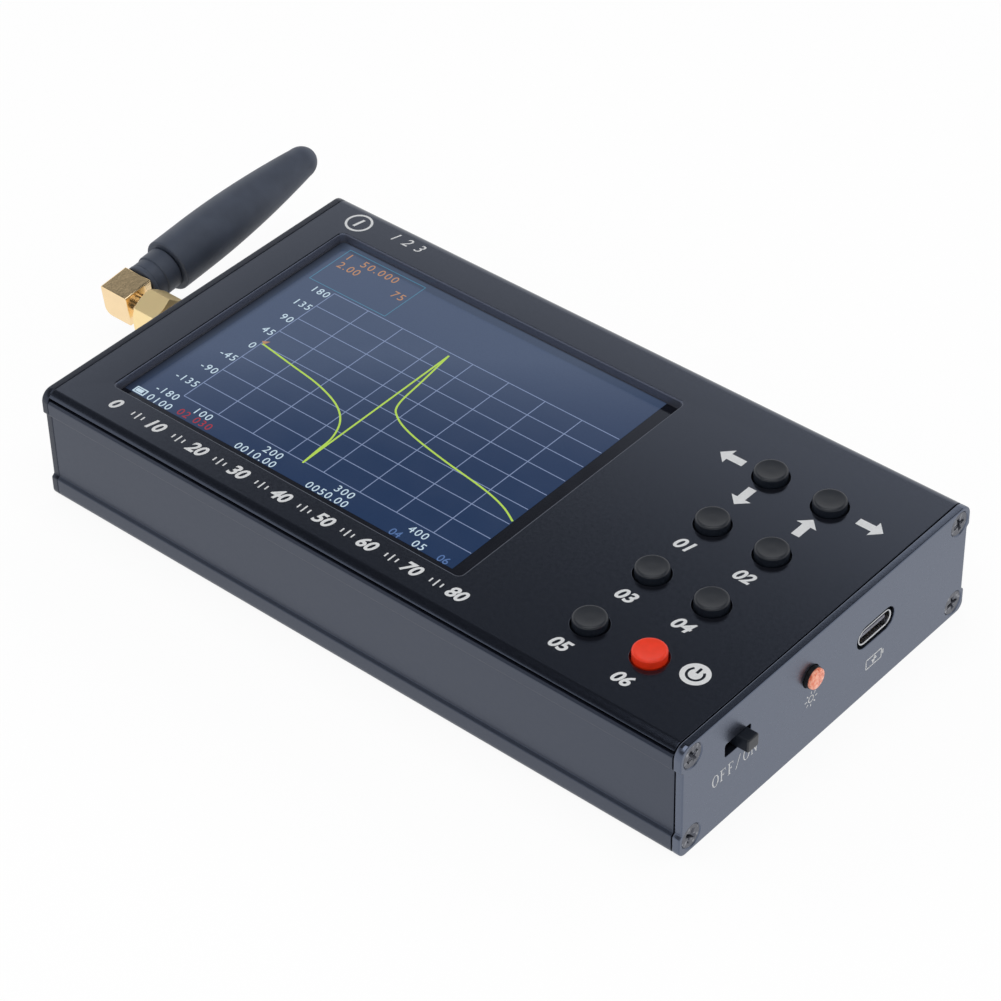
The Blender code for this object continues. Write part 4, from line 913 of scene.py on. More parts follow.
def lit(name, tone):
    """Lit display colour, a little uneven from pixel to pixel."""
    finish = Finish(name, base_color=(0.0, 0.0, 0.0), specular_ior_level=0.3)
    dim = tuple(0.72 * c for c in tone)
    glow = finish.blended(finish.noise(0.35), dim, tone)
    return finish.set(emission_color=glow, emission_strength=1.0).rough(0.2, 0.04, 2.0)


line_z = picture_z + FILM
grid_xs = [AXIS_X + i * GRID_STEP[0] for i in range(GRID_CELLS)]
grid_ys = [GRID_TOP - i * GRID_STEP[1] for i in range(GRID_CELLS + 1)]
grid = [film(ribbon([(AXIS_X, y), (GRID_RIGHT, y)], GRID_LINE), line_z) for y in grid_ys]
for x in grid_xs:
    line = ribbon([(x, grid_ys[-1]), (x, GRID_TOP)], GRID_LINE)
    grid.append(film(line, line_z, layers=UPRIGHT_LAYER))
curves = (curve_through(falling), rising, curve_through(settling))
trace = [
    film(ribbon(curve, TRACE_LINE), line_z, layers=layers)
    for curve, layers in zip(curves, TRACE_LAYERS)
]
labels = []
for i, y in enumerate(grid_ys):
    degrees = [(str(180 - 45 * i), AXIS_X + DEGREES_SHIFT[0])]
    labels += number_row(degrees, y + DEGREES_SHIFT[1], align=1.0)
scale_words = [(str(100 + 100 * i), SCALE_PLACE[0] + i * 2 * GRID_STEP[0]) for i in range(4)]
labels += number_row(scale_words, SCALE_PLACE[1])
labels += number_row(FOOT_WORDS, FOOT_Y)
labels.append(frame_film(rectangle(*BATTERY), BATTERY_LINE, line_z))
labels.append(film(rectangle(*CHARGE), line_z))
readings = [
    lettering(words, READING_HEIGHT, place, line_z, align=align, spacing=spacing)
    for words, place, align, spacing in READINGS
]
readings.append(film(MARKER, line_z, layers=MARKER_LAYER))
border = frame_film(rectangle(*READING_BOX), READING_LINE, line_z)
blue_numbers = number_row(BLUE_WORDS, BLUE_Y, spacing=1.0)
plot_pieces = (
    ("plot_grid", "lit_grid", (0.24, 0.31, 0.5), grid),
    ("plot_trace", "lit_trace", (0.5, 0.74, 0.1), trace),
    ("plot_numbers", "lit_white", (0.62, 0.78, 0.9), labels),
    ("plot_frame", "lit_cyan", (0.09, 0.25, 0.38), [border]),
    ("plot_readings", "lit_amber", (0.52, 0.27, 0.15), readings),
    ("plot_red_numbers", "lit_red", (0.4, 0.03, 0.05), number_row(RED_WORDS, RED_Y)),
    ("plot_blue_numbers", "lit_blue", (0.1, 0.19, 0.42), blue_numbers),
)
for name, glow_name, tone, shapes in plot_pieces:
    dress(solid(name, *shapes), lit(glow_name, tone))

# The keys are moulded caps with a flange that the cover keeps in and a stem that stands on a
# push switch. Seven are satin black and the power key is red.
CAP_RADIUS = 2.9
CAP_ROUNDING = 0.42
CAP_FACE = ((2.33, 0.02), (1.74, 0.084), (0.725, 0.12))
FLANGE_RADIUS = 3.8
FLANGE_TOP = 20.9
FLANGE_BOTTOM = 20.1
STEM_RADIUS = 1.7
STEM_BREAK = 0.2
POWER_KEY = "b4"
CAP_DUST = (1.6, 0.05, 0.15)
CAP_DUST_SHARE = 0.35


def moulded(name, tone, gloss):
    """Moulded plastic with a spark-eroded texture, a faint mottle and a few specks of dust."""
    finish = Finish(name, specular_ior_level=gloss)
    speck = finish.specks(*CAP_DUST) * CAP_DUST_SHARE
    pale = tuple(c * 0.7 + 0.12 for c in tone)
    finish.set(base_color=finish.blended(speck, finish.shaded(tone, 0.1, 1.2), pale))
    finish.rough(0.36, 0.06, 0.4)
    return finish.bumped(finish.noise(0.14, 3.0), 0.012, 0.7)


black_finish = moulded("key_black", (0.009, 0.0125, 0.02), 0.5)
red_finish = moulded("key_red", (0.95, 0.04, 0.008), 0.4)
for key, centre in key_places.items():
    name = f"key_cap_{key}"
    low, high = extent(name)
    profile = [
        (STEM_RADIUS - STEM_BREAK, low.z),
        (STEM_RADIUS, low.z + STEM_BREAK),
        (STEM_RADIUS, FLANGE_BOTTOM),
        (FLANGE_RADIUS, FLANGE_BOTTOM),
        (FLANGE_RADIUS, FLANGE_TOP),
        (CAP_RADIUS, FLANGE_TOP),
        *arc((CAP_RADIUS - CAP_ROUNDING, high.z - CAP_ROUNDING), CAP_ROUNDING, 0, 90, 7),
        *[(radius, high.z - depth) for radius, depth in CAP_FACE],
    ]
    cap = solid(f"{name}_surface", spun(profile, upright, centre))
    finish = red_finish if key == POWER_KEY else black_finish
    dress(cap, finish, name, body=f"key_{key}", crease=50)

# The charging socket is a drawn steel shell with a rolled mouth. Its tongue is black plastic
# with gold contacts on both faces, and stands clear of the shell all round.
SOCKET_WALL = 0.3
SOCKET_MOUTH = 0.12
BLADE_HALF_WIDTH = 3.345
BLADE_HALF_HEIGHT = 0.35
BLADE_CORNER = 0.2
BLADE_EDGE = 0.15
ROOT_LENGTH = 1.6
ROOT_EDGE = 0.1
CONTACTS = 12
CONTACT_PITCH = 0.5
CONTACT_WIDTH = 0.25
CONTACT_LENGTH = 2.6
CONTACT_SETBACK = 0.4
CONTACT_RISE = 0.02
gold_finish = even_finish(
    "gold_plate", (0.86, 0.6, 0.3), (0.06, 2.0), (0.2, 0.05, 0.8), (0.2, 0.004), (0.2, 1, 1),
    metallic=1.0,
)
low, high = extent("usb_c_shell")
stadium = rectangle(low[1:], high[1:], (high.z - low.z) / 2 - HAIR)
rings = [(0, low.x)]
rings += [(rise, high.x - inward) for inward, rise in rounding(SOCKET_MOUTH, 3)]
rings += [(SOCKET_WALL - SOCKET_MOUTH, high.x), (SOCKET_WALL, high.x - SOCKET_MOUTH)]
rings.append((SOCKET_WALL, low.x))
shell = solid("usb_c_shell_surface", stacked(stadium, rings, along_x, hoop=True))
dress(shell, steel_finish, "usb_c_shell")
low, high = extent("usb_c_tongue")
blade = centred(SOCKET_CENTRE, BLADE_HALF_WIDTH, BLADE_HALF_HEIGHT, BLADE_CORNER)
root_block = rectangle(low[1:], high[1:], (high.z - low.z) / 2 - HAIR)
tongue = solid(
    "usb_c_tongue_surface",
    slab(root_block, low.x, low.x + ROOT_LENGTH, ROOT_EDGE, along_x),
    slab(blade, low.x + ROOT_LENGTH - ROOT_EDGE, high.x, BLADE_EDGE, along_x),
)
tongue_finish = even_finish(
    "tongue_plastic", (0.2, 0.2, 0.25), (0.1, 1.5), (0.3, 0.05, 0.5), specular_ior_level=0.5
)
dress(tongue, tongue_finish, "usb_c_tongue")
contacts = []
for side in (-1, 1):
    for i in range(CONTACTS):
        y = SOCKET_CENTRE[0] + (i - (CONTACTS - 1) / 2) * CONTACT_PITCH
        z = SOCKET_CENTRE[1] + side * BLADE_HALF_HEIGHT
        strip = centred((y, z), CONTACT_WIDTH / 2, CONTACT_RISE, HAIR)
        front = high.x - CONTACT_SETBACK
        contacts.append(slab(strip, front - CONTACT_LENGTH, front, HAIR, along_x))
dress(solid("usb_c_contacts", *contacts), gold_finish)

# The status light is a clear-cased lamp, moulded in milky orange, in a short black sleeve that
# holds it in the plate's hole.
LIGHT_RADIUS = 1.75
LIGHT_FACE_RADIUS = 1.86
LIGHT_ROUNDING = 0.25
LIGHT_BULGE = 0.1
LIGHT_POLE = 0.1
LIGHT_TONES = ((0.75, 0.18, 0.09), (0.95, 0.42, 0.28))
LIGHT_GLOWS = ((0.16, 0.042, 0.025), (0.27, 0.12, 0.085))
SLEEVE_LIP = 0.1
SLEEVE_WALL = 0.14
SLEEVE_BREAK = 0.06
light_finish = Finish("lamp_resin", emission_strength=1.0)
cloud = light_finish.risen(light_finish.noise(0.7, 4.0), 0.35, 0.65)
light_finish.set(base_color=light_finish.blended(cloud, *LIGHT_TONES))
light_finish.set(emission_color=light_finish.blended(cloud, *LIGHT_GLOWS))
light_finish.rough(0.3, 0.08, 0.6).bumped(cloud, 0.05)
lamp_back, lamp_front = [corner.x for corner in extent("status_led")]
low, high = extent("led_sleeve")
rounding_centre = (LIGHT_FACE_RADIUS - LIGHT_ROUNDING, lamp_front - LIGHT_BULGE - LIGHT_ROUNDING)
lamp = spun([
    (LIGHT_RADIUS, lamp_back),
    (LIGHT_RADIUS, high.x),
    (LIGHT_FACE_RADIUS, high.x + SLEEVE_BREAK),
    *arc(rounding_centre, LIGHT_ROUNDING, 0, 80, 6),
    (LIGHT_RADIUS / 2, lamp_front - LIGHT_BULGE / 4),
    (LIGHT_POLE, lamp_front),
], along_x, LIGHT_CENTRE)
dress(solid("status_light", lamp), light_finish, "status_led", crease=60)
sleeve_finish = even_finish(
    "shrink_tube", (0.008, 0.008, 0.009), (0.3, 0.8), (0.45, 0.08, 0.4), (0.4, 0.04),
    specular_ior_level=0.4,
)
radius = (high.y - low.y) / 2
profile = [
    (radius, low.x),
    (radius, high.x - SLEEVE_BREAK),
    (radius - SLEEVE_BREAK, high.x),
    (radius - SLEEVE_LIP, high.x),
    (radius - SLEEVE_WALL, high.x - SLEEVE_BREAK),
    (radius - SLEEVE_WALL, low.x),
]
sleeve = solid("light_sleeve", spun(profile, along_x, LIGHT_CENTRE, hoop=True))
dress(sleeve, sleeve_finish, "led_sleeve")

# The power switch's knob is one black moulding: a slider inside the switch, and the knob that
# reaches out through the plate's slot, with its corners taken off.
KNOB_Y = -22.7
KNOB_HALF_WIDTH = 1.4
KNOB_CHAMFER = 0.4
KNOB_EDGE = 0.3
KNOB_OVERLAP = 0.2
SLIDER_DEPTH = 2.8
SLIDER_CORNER = 0.2
SLIDER_EDGE = 0.15
low, high = extent("slide_switch_knob")
reach = (KNOB_Y - KNOB_HALF_WIDTH, low.z), (KNOB_Y + KNOB_HALF_WIDTH, high.z)
knob_foot = low.x + SLIDER_DEPTH
knob = solid(
    "power_knob",
    slab(rectangle(low[1:], high[1:], SLIDER_CORNER), low.x, knob_foot, SLIDER_EDGE, along_x),
    slab(rectangle(*reach, KNOB_CHAMFER), knob_foot - KNOB_OVERLAP, high.x, KNOB_EDGE, along_x),
)
dress(knob, black_finish, "slide_switch_knob", body="power_knob")

# The antenna socket is turned brass, gold-plated, with a 36-thread barrel. A flange clasps the
# board's edge with four legs, and a washer and a nut clamp the barrel to the end plate.
THREAD_RADIUS = 3.1
THREAD_DEPTH = 0.36
THREAD_PITCH = 0.7056
THREAD_STEPS = 8
THREAD_SPOKES = 48
THREAD_START = 69.9
THREAD_RELIEF = 0.3
BARREL_BORE = 2.1
BARREL_CHAMFER = 0.35
BARREL_LIP = 0.05
BARREL_OVERLAP = 0.5
BORE_CHAMFER = 0.15
SOCKET_FLANGE_HALF = 3.2
SOCKET_FLANGE_DEPTH = 1.6
SOCKET_FLANGE_SETBACK = 1.9
FLANGE_CORNER = 0.2
FLANGE_BORE = ((BARREL_BORE, 60), (BARREL_BORE, 70))
LEG_WIDTH = 1.3
LEG_HEIGHT = 1.0
LEG_CLEARANCE = 0.3
LEG_EDGE = 0.1
LEG_OVERLAP = 0.05
WASHER_BORE = 3.45
WASHER_RADIUS = 4.6
WASHER_BREAK = 0.1
low, high = extent("sma_jack")
barrel_tip = -low.x
flange_front = extent("main_board")[0].x - SOCKET_FLANGE_SETBACK
flange_back = -flange_front - SOCKET_FLANGE_DEPTH
barrel_root = -flange_front - BARREL_OVERLAP
barrel = []
height = THREAD_START
while height < barrel_tip:
    limit = THREAD_RADIUS - max(0, height - barrel_tip + BARREL_CHAMFER)
    ring = []
    for i in range(THREAD_SPOKES):
        turn = (height / THREAD_PITCH - i / THREAD_SPOKES) % 1
        radius = min(limit, THREAD_RADIUS - THREAD_DEPTH * abs(2 * turn - 1))
        angle = math.tau * i / THREAD_SPOKES
        ring.append(minus_x(radius * math.cos(angle), AXIS[1] + radius * math.sin(angle), height))
    barrel.append(ring)
    height += THREAD_PITCH / THREAD_STEPS
foot = [(THREAD_RADIUS, barrel_root), (THREAD_RADIUS, THREAD_START - THREAD_RELIEF)]
bore = [
    (THREAD_RADIUS - BARREL_CHAMFER - BARREL_LIP, barrel_tip),
    (BARREL_BORE + BORE_CHAMFER, barrel_tip),
    (BARREL_BORE, barrel_tip - BORE_CHAMFER),
    (BARREL_BORE, barrel_root),
]
foot, bore = [hoops(profile, minus_x, AXIS, THREAD_SPOKES) for profile in (foot, bore)]
jack = solid("antenna_socket_barrel", skin([*foot, *barrel, *bore], hoop=True))
dress(jack, gold_finish, "sma_jack", crease=30)
flange_top = (SOCKET_FLANGE_HALF, AXIS[1] + SOCKET_FLANGE_HALF)
face = rectangle((-SOCKET_FLANGE_HALF, low.z), flange_top, FLANGE_CORNER)
flange = solid("antenna_socket_flange", slab(face, flange_back, -flange_front, LEG_EDGE, minus_x))
carved(flange, spun(FLANGE_BORE, minus_x, AXIS))
dress(flange, gold_finish, "sma_jack")
legs = []
for side in (-1, 1):
    for leg_z in (low.z, extent("main_board")[1].z + LEG_CLEARANCE):
        ys = sorted((side * SOCKET_FLANGE_HALF, side * (SOCKET_FLANGE_HALF - LEG_WIDTH)))
        leg = rectangle((ys[0], leg_z), (ys[1], leg_z + LEG_HEIGHT), LEG_EDGE)
        legs.append(slab(leg, -high.x, flange_back + LEG_OVERLAP, LEG_EDGE, minus_x))
dress(solid("antenna_socket_legs", *legs), gold_finish, "sma_jack")
low, high = extent("sma_contact")
radius = (high.y - low.y) / 2
pin = [
    (radius, -high.x), (radius, -low.x - 0.1), (radius - 0.1, -low.x), (radius - 0.3, -low.x),
    (radius - 0.32, -low.x - 0.8),
]
contact = solid("antenna_socket_contact", spun(pin, minus_x, AXIS, 32))
dress(contact, gold_finish, "sma_contact")
low, high = extent("sma_washer")
start, end = -high.x, -low.x
face_radius = WASHER_RADIUS - WASHER_BREAK
profile = [(WASHER_BORE, start), (face_radius, start), (WASHER_RADIUS, start + WASHER_BREAK)]
profile += [(WASHER_RADIUS, end - WASHER_BREAK), (face_radius, end), (WASHER_BORE, end)]
washer = solid("antenna_socket_washer", spun(profile, minus_x, AXIS, hoop=True))
dress(washer, gold_finish, "sma_washer", crease=50)

# Two hexagon nuts: a thin one clamps the socket, and a long one spins on the elbow's plug. Both
# are turned from bar, chamfered at their ends and gold-plated.
NUT_FLATS = 8.0
NUT_CORNER = 0.25
NUT_CONE = 0.3
NUT_EDGE = 0.02
NUT_BORE = 3.4
PANEL_NUT_FACE = 3.72
PANEL_NUT_CHAMFER = 0.3
COUPLING_FACE = 3.5
COUPLING_TURN = math.radians(25.4)
COUPLING_BACK = 1.2
NECK_BORE = 2.3
nut_finish = even_finish(
    "gold_plate_nut", (1.0, 0.8, 0.44), (0.03, 2.0), (0.45, 0.05, 0.6), (0.25, 0.005),
    (1, 0.15, 0.15), metallic=1.0,
)


def hexagon_nut(name, start, end, turn, face, bore):
    """A hexagon bar between two heights, with ends coned down to a face, less its bore."""
    reach = NUT_FLATS / math.sqrt(3)
    corners = arc(AXIS, reach, math.degrees(turn), math.degrees(turn) + 300, 5)
    outline = filleted([(*corner, NUT_CORNER) for corner in corners], steps=3)
    bar = slab(outline, start, end, NUT_EDGE, minus_x, steps=1)
    wide = reach + NUT_CONE
    cone = (wide - face) / math.sqrt(3)
    profile = [(face, start), (wide, start + cone), (wide, end - cone), (face, end)]
    nut = carved(solid(name, bar), spun(profile, minus_x, AXIS, 96), operation="INTERSECT")
    return carved(nut, spun(bore, minus_x, AXIS))


end, start = [-corner.x for corner in extent("sma_panel_nut")]
wide_bore = NUT_BORE + PANEL_NUT_CHAMFER
bore = [(NUT_BORE, start - OVERRUN), (NUT_BORE, end - PANEL_NUT_CHAMFER)]
bore += [(wide_bore, end), (wide_bore, end + OVERRUN)]
panel_nut = hexagon_nut("panel_nut", start, end, 0, PANEL_NUT_FACE, bore)
dress(panel_nut, nut_finish, "sma_panel_nut", crease=20)
end, start = [-corner.x for corner in extent("coupling_nut")]
neck_end = end - COUPLING_BACK
bore = [(NUT_BORE, start - OVERRUN), (NUT_BORE, neck_end)]
bore += [(NECK_BORE, neck_end), (NECK_BORE, end + OVERRUN)]
coupling = hexagon_nut("coupling_nut_surface", start, end, COUPLING_TURN, COUPLING_FACE, bore)
dress(coupling, nut_finish, "coupling_nut", body="plug_nut", crease=20)

# The elbow is a square gold-plated block with one rounded edge. Its neck and ferrule stand in
# the coupling nut, and its stub carries the antenna.
ELBOW_X = -88.5
ELBOW_HALF = 3.25
ELBOW_SHIFT = 0.45
ELBOW_TILT = math.radians(6)
ELBOW_CORNER = 0.28
ELBOW_ROUND = 1.7
ELBOW_RIM = 0.2
ELBOW_OVERLAP = 0.5
NECK_RADIUS = 2.0
FERRULE_RADIUS = 2.9
FERRULE_BREAK = 0.2
FERRULE_GAP = 0.3
STUB_RADIUS = 2.2
STUB_END = 11.4
STUB_TIP = (1.8, 11.8)
swivel = Matrix.Translation((ELBOW_X, *AXIS)) @ Matrix.Rotation(ELBOW_TILT, 4, "X")


def on_antenna(u, v, height):
    """A place out along the antenna from the elbow's centre, where v points up across it."""
    return tuple(swivel @ Vector((u, height, v)))


sides = ((-1, -1, ELBOW_ROUND), (1, -1, ELBOW_CORNER), (1, 1, ELBOW_CORNER), (-1, 1, ELBOW_CORNER))
block_outline = filleted([(u * ELBOW_HALF, v * ELBOW_HALF, radius) for u, v, radius in sides], 12)
elbow_finish = even_finish(
    "gold_plate_elbow", (0.94, 0.71, 0.42), (0.05, 2.5), (0.17, 0.05, 0.9), (0.5, 0.006),
    metallic=1.0,
)
block_front = ELBOW_SHIFT + ELBOW_HALF
block = slab(block_outline, ELBOW_SHIFT - ELBOW_HALF, block_front, ELBOW_RIM, on_antenna, steps=4)
stub = [(STUB_RADIUS, block_front - ELBOW_OVERLAP), (STUB_RADIUS, STUB_END), STUB_TIP]
ferrule_tip = barrel_tip + FERRULE_GAP
ferrule_back = neck_end - FERRULE_GAP
neck = spun([
    (FERRULE_RADIUS - FERRULE_BREAK, ferrule_tip),
    (FERRULE_RADIUS, ferrule_tip + FERRULE_BREAK),
    (FERRULE_RADIUS, ferrule_back),
    (NECK_RADIUS, ferrule_back + HAIR),
    (NECK_RADIUS, -ELBOW_X - ELBOW_HALF + ELBOW_OVERLAP),
], minus_x, AXIS)
elbow = solid("elbow", block, spun(stub, on_antenna), neck)
dress(elbow, elbow_finish, "elbow_block", body="antenna", crease=30)

# The antenna is a rubber sleeve moulded over a wound wire. A stepped black collar joins it to
# the elbow, and its round tip is a little narrower than its base.
COLLAR_PROFILE = (
    (2.5, 4.0), (3.7, 4.0), (3.85, 4.06), (3.9, 4.2), (3.9, 4.66), (3.85, 4.78), (3.72, 4.82),
    (3.72, 5.02), (3.82, 5.1), (3.82, 7.08), (3.95, 7.1), (4.05, 7.16), (4.1, 7.3), (4.1, 10.1),
    (4.05, 10.28), (3.95, 10.35), (2.5, 10.35),
)
SLEEVE_BORE = 2.5
SLEEVE_START = 10.65
SLEEVE_RADIUS = 5.15
SLEEVE_EDGE = 0.35
TAPER_START = 18.65
TAPER_END = 46.65
TAPER_STEPS = 24
TAPER_POWER = 1.85
TIP_RADIUS = 3.1
TIP_LENGTH = 3.5
TIP_STEPS = 14
TIP_POLE = 0.05
rubber = even_finish(
    "antenna_rubber", (0.064, 0.078, 0.112), (0.3, 5.0), (0.5, 0.06, 2.0), specular_ior_level=0.35
)
ripple = rubber.noise(0.25, 4.0) * 0.5 + rubber.noise(3.0) * 0.5
rubber.bumped(ripple, 0.03)
collar = solid("antenna_collar_surface", spun(COLLAR_PROFILE, on_antenna, steps=72, hoop=True))
dress(collar, rubber, "antenna_collar", body="antenna", crease=60)
edge_centre = (SLEEVE_RADIUS - SLEEVE_EDGE, SLEEVE_START + SLEEVE_EDGE)
profile = [(SLEEVE_BORE, SLEEVE_START), *arc(edge_centre, SLEEVE_EDGE, -90, 0, 6)]
for i in range(TAPER_STEPS + 1):
    share = i / TAPER_STEPS
    radius = SLEEVE_RADIUS - (SLEEVE_RADIUS - TIP_RADIUS) * share**TAPER_POWER
    profile.append((radius, TAPER_START + share * (TAPER_END - TAPER_START)))
for i in range(1, TIP_STEPS):
    angle = math.pi / 2 * i / TIP_STEPS
    profile.append((TIP_RADIUS * math.cos(angle), TAPER_END + TIP_LENGTH * math.sin(angle)))
profile.append((TIP_POLE, TAPER_END + TIP_LENGTH))
sleeve = solid("antenna_sleeve_surface", spun(profile, on_antenna, steps=96))
dress(sleeve, rubber, "antenna_sleeve", body="antenna", crease=60)

# The markings are screen-printed white ink, a film on the cover and on the socket end plate:
# a scale of plain numbers, key numbers, arrows, the power mark, and the end plate's marks.
ARROW_LENGTH = 5.0
ARROW_HEAD = 1.9
ARROW_HALF_WIDTH = 1.95
ARROW_HALF_SHAFT = 0.8
ARROWS = (((32.5, 22.45), 180), ((40.0, 15.7), -90), ((52.35, 15.7), 90), ((60.6, 22.5), 0))
KEY_NUMBERS = {
    "01": (40.1, 0.1), "02": (52.3, 0.0), "03": (40.7, -15.4), "04": (51.95, -15.2),
    "05": (39.9, -30.7), "06": (52.3, -30.7),
}
INK_HEIGHT = 2.7
INK_STYLE = {"slant": 0.25, "weight": 0.03}
SCALE_START = -57.0
SCALE_STEP = 9.6
SCALE_Y = -32.1
TICKS = ((0.42, 0.5), (0.54, 0.9), (0.66, 0.5))
TICK_HALF_WIDTH = 0.14
TICK_CORNER = 0.05
RING_PLACE = (-60.8, 33.0)
RING_RADIUS = 2.6
RING_LINE = 0.45
RING_NUMBER_HEIGHT = 2.5
PLAIN_NUMBER_PLACE = (-49.6, 34.0)
PLAIN_NUMBER_HEIGHT = 2.2
POWER_PLACE = (60.33, -22.84)
POWER_DISC = 2.5
POWER_RING = 1.64
POWER_CENTRE = 1.17
POWER_OPENING = 43
POWER_STEM = (0.25, 0.28)
SERIF_F = (
    (0.04, 0), (0.34, 0), (0.34, 0.05), (0.25, 0.05), (0.25, 0.48), (0.4, 0.48), (0.4, 0.4),
    (0.45, 0.4), (0.45, 0.61), (0.4, 0.61), (0.4, 0.54), (0.25, 0.54), (0.25, 0.94), (0.55, 0.94),
    (0.55, 0.78), (0.6, 0.78), (0.6, 1), (0.04, 1), (0.04, 0.95), (0.13, 0.95), (0.13, 0.05),
    (0.04, 0.05),
)
SERIF_N = (
    (0.02, 0), (0.28, 0), (0.28, 0.05), (0.19, 0.05), (0.19, 0.8), (0.58, 0), (0.65, 0),
    (0.65, 0.95), (0.74, 0.95), (0.74, 1), (0.49, 1), (0.49, 0.95), (0.58, 0.95), (0.58, 0.24),
    (0.21, 1), (0.02, 1), (0.02, 0.95), (0.11, 0.95), (0.11, 0.05), (0.02, 0.05),
)
SLASH = ((0.05, -0.08), (0.13, -0.08), (0.58, 1.05), (0.5, 1.05))
O_CENTRE = (0.37, 0.5)
O_OUTER = (0.35, 0.52)
O_INNER = (0.23, 0.46)
LETTER_HEIGHT = 2.35
LETTER_PITCH = 1.95
SWITCH_WORDS = (-30.1, 9.25)
SUN_PLACE = (-4.7, 10.0)
SUN_RADIUS = 0.75
SUN_LINE = 0.22
SUN_RAYS = 8
RAY_REACH = (1.05, 1.6)
CELL_CASE = ((10.2, 5.3), (14.6, 7.5), 0.3)
CELL_CAP = ((14.7, 5.95), (15.1, 6.85), 0.08)
CELL_LINE = 0.25
BOLT = ((12.3, 5.55), (12.75, 6.3), (13.3, 6.3), (12.6, 7.25), (12.3, 6.55), (11.75, 6.55))
ink = even_finish(
    "white_ink", (0.78, 0.79, 0.8), (0.07, 0.35), (0.55, 0.08, 0.3), (0.2, 0.01),
    specular_ior_level=0.3,
)


def arrow(centre, heading):
    """A block arrow with its middle on a point, headed along an angle in degrees."""
    half = ARROW_LENGTH / 2
    neck = half - ARROW_HEAD
    lower = [(-half, -ARROW_HALF_SHAFT), (neck, -ARROW_HALF_SHAFT), (neck, -ARROW_HALF_WIDTH)]
    upper = [(u, -v) for u, v in reversed(lower)]
    return swung((*lower, (half, 0), *upper), math.radians(heading), centre)


def on_letter(start, u, v):
    """A place on the end plate, from one on a letter of height 1 that starts at a place."""
    return start + u * LETTER_HEIGHT, SWITCH_WORDS[1] + v * LETTER_HEIGHT


marks = [film(arrow(*aimed), case_top) for aimed in ARROWS]
for words, centre in KEY_NUMBERS.items():
    marks.append(lettering(words, INK_HEIGHT, centre, case_top, **INK_STYLE))
for i in range(9):
    x = SCALE_START + i * SCALE_STEP
    marks.append(lettering(str(10 * i), INK_HEIGHT, (x, SCALE_Y), case_top, **INK_STYLE))
    for share, half_tick in (TICKS if i < 8 else ()):
        place = (x + SCALE_STEP * share, SCALE_Y)
        marks.append(film(centred(place, TICK_HALF_WIDTH, half_tick, TICK_CORNER), case_top))
marks.append(frame_film(circle(RING_RADIUS, RING_PLACE), RING_LINE, case_top))
marks.append(lettering("1", RING_NUMBER_HEIGHT, RING_PLACE, case_top, slant=0.2, weight=0.03))
marks.append(lettering(
    "1 2 3", PLAIN_NUMBER_HEIGHT, PLAIN_NUMBER_PLACE, case_top, slant=0.3, spacing=1.15
))
x, y = POWER_PLACE
half_stem, stem_foot = POWER_STEM
stem_angle = math.degrees(math.asin(half_stem / POWER_RING))
marks.append(frame_film(circle(POWER_DISC, POWER_PLACE), POWER_DISC - POWER_RING, case_top))
marks.append(film([
    *arc(POWER_PLACE, POWER_RING, 90 + stem_angle, 90 + POWER_OPENING, 8),
    *arc(POWER_PLACE, POWER_CENTRE, 90 + POWER_OPENING, 450 - POWER_OPENING, 60),
    *arc(POWER_PLACE, POWER_RING, 90 - POWER_OPENING, 90 - stem_angle, 8),
    (x + half_stem, y + stem_foot),
    (x - half_stem, y + stem_foot),
], case_top))
dress(solid("cover_print", *marks), ink)
marks = []
for i, letter in enumerate(("O", SERIF_F, SERIF_F, SLASH, "O", SERIF_N)):
    start = SWITCH_WORDS[0] + i * LETTER_PITCH
    if letter != "O":
        marks.append(film([on_letter(start, u, v) for u, v in letter], plate_face, along_x))
        continue
    rings = []
    sizes = (O_OUTER, O_OUTER, O_INNER, O_INNER)
    for (wide, high), rise in zip(sizes, (0, LINE_FILM, LINE_FILM, 0)):
        oval = [(O_CENTRE[0] + wide * u, O_CENTRE[1] + high * v) for u, v in circle(1)]
        rings.append([along_x(*on_letter(start, u, v), plate_face + rise) for u, v in oval])
    marks.append(skin(rings, hoop=True))
marks.append(frame_film(circle(SUN_RADIUS, SUN_PLACE), SUN_LINE, plate_face, along_x))
for i in range(SUN_RAYS):
    ends = swung([(reach, 0) for reach in RAY_REACH], i * math.tau / SUN_RAYS, SUN_PLACE)
    marks.append(film(ribbon(ends, SUN_LINE), plate_face, along_x))
marks.append(frame_film(rectangle(*CELL_CASE), CELL_LINE, plate_face, along_x))
marks.append(film(rectangle(*CELL_CAP), plate_face, along_x))
marks.append(film(BOLT, plate_face, along_x))
dress(solid("plate_print", *marks), ink)

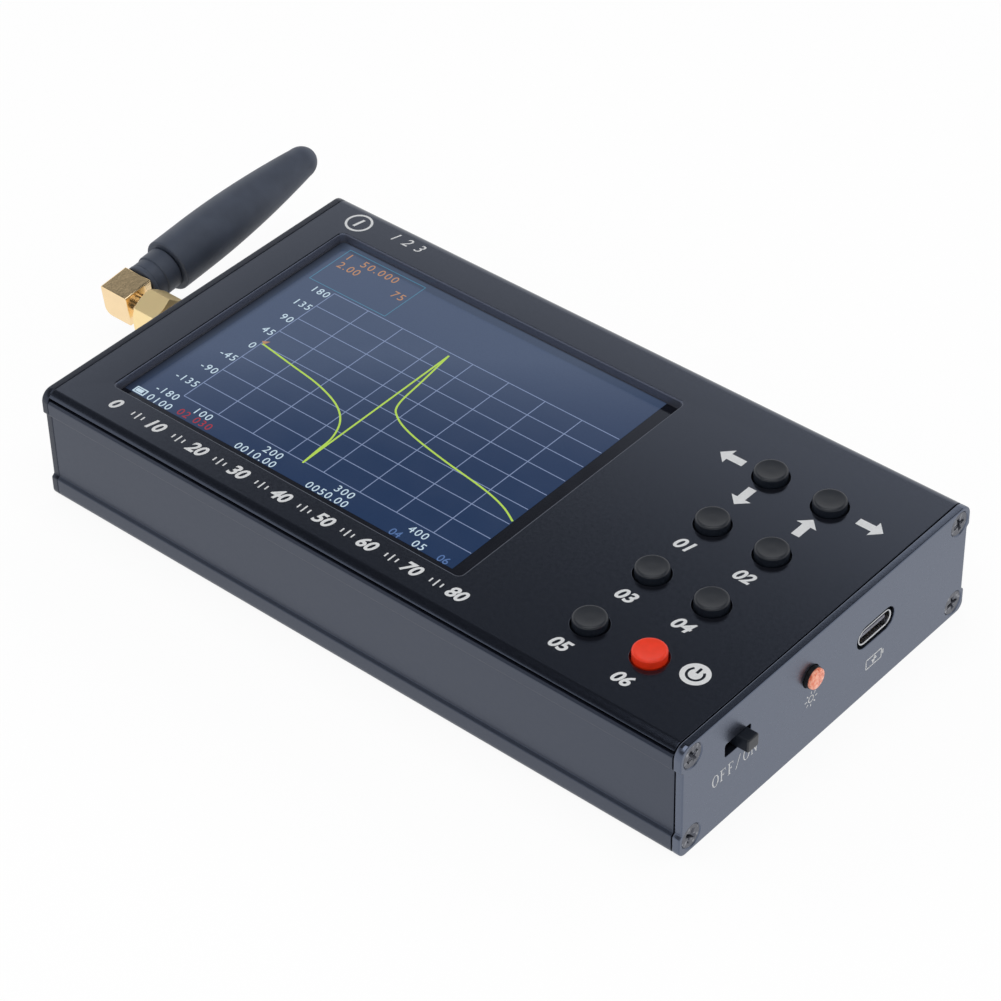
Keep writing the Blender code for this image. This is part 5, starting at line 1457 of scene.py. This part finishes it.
# The studio: a pale floor that shows as plain white and keeps the object's shadow, an overhead
# soft box, and a surround that is white near the floor, grey above it and dark overhead.
FLOOR_HALF = 1500
FLOOR_CORNER = 500
FLOOR_DROP = 0.02
FLOOR_THICKNESS = 1
FLOOR_TONE = (0.86, 0.86, 0.86)
FLOOR_LIT = 0.68
SHADOW_SHARE = 0.12
SOFT_BOX_SIDE = 0.7
SOFT_BOX_PLACE = (0.1, -0.1, 0.75)
SOFT_BOX_POWER = 2.8
NEAR_WALL = 0.55
WALL_WHITE = (1.0, 1.0, 1.0)
WALL_FADE = (0.99, 1.055)
TENT_GREY = (0.115, 0.125, 0.135)
TENT_FADE = (1.12, 1.6)
TENT_DARK = (0.04, 0.045, 0.05)
floor_outline = centred((0, 0), FLOOR_HALF, FLOOR_HALF, FLOOR_CORNER)
floor_rings = [(0, -FLOOR_DROP - FLOOR_THICKNESS), (0, -FLOOR_DROP)]
floor = solid("floor", stacked(floor_outline, floor_rings, upright))
paper = Finish("studio_floor", base_color=FLOOR_TONE, roughness=1.0, specular_ior_level=0.0)
camera_ray, glossy_ray, through_ray = [paper.node("LightPath", None, None, i) for i in (0, 3, 6)]
seen = camera_ray + glossy_ray + through_ray
glow_strength = (1 - SHADOW_SHARE * FLOOR_LIT) / (1 - SHADOW_SHARE)
glowing = paper.node("Emission", None, {"Strength": glow_strength})
matt = Signal(paper, paper.shader.outputs[0])
mixed = paper.node("MixShader", None, {0: seen * (1 - SHADOW_SHARE), 1: matt, 2: glowing})
paper.feed(paper.tree.nodes["Material Output"].inputs["Surface"], mixed)
floor.data.materials.append(paper.material)
floor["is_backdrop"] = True
world = bpy.data.worlds.new("surround")
world.use_nodes = True
bpy.context.scene.world = world
sky = Recipe(world.node_tree)
east, north, rise = sky.parts(sky.node("TexCoord"))
reach = north.maximum(east * -1).maximum(north * -NEAR_WALL).maximum(east * NEAR_WALL)
slope = rise / reach
surround = sky.blended(sky.risen(slope, *WALL_FADE), WALL_WHITE, TENT_GREY)
surround = sky.blended(sky.risen(slope, *TENT_FADE), surround, TENT_DARK)
sky.feed(world.node_tree.nodes["Background"].inputs["Color"], surround)
box_light = bpy.data.lights.new("soft_box", "AREA")
box_light.shape = "SQUARE"
box_light.size = SOFT_BOX_SIDE
box_light.energy = SOFT_BOX_POWER
placed("soft_box", box_light).location = SOFT_BOX_PLACE
bpy.context.scene.view_settings.view_transform = "Standard"

sizes = {"cad": cad_box, "visual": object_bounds()}
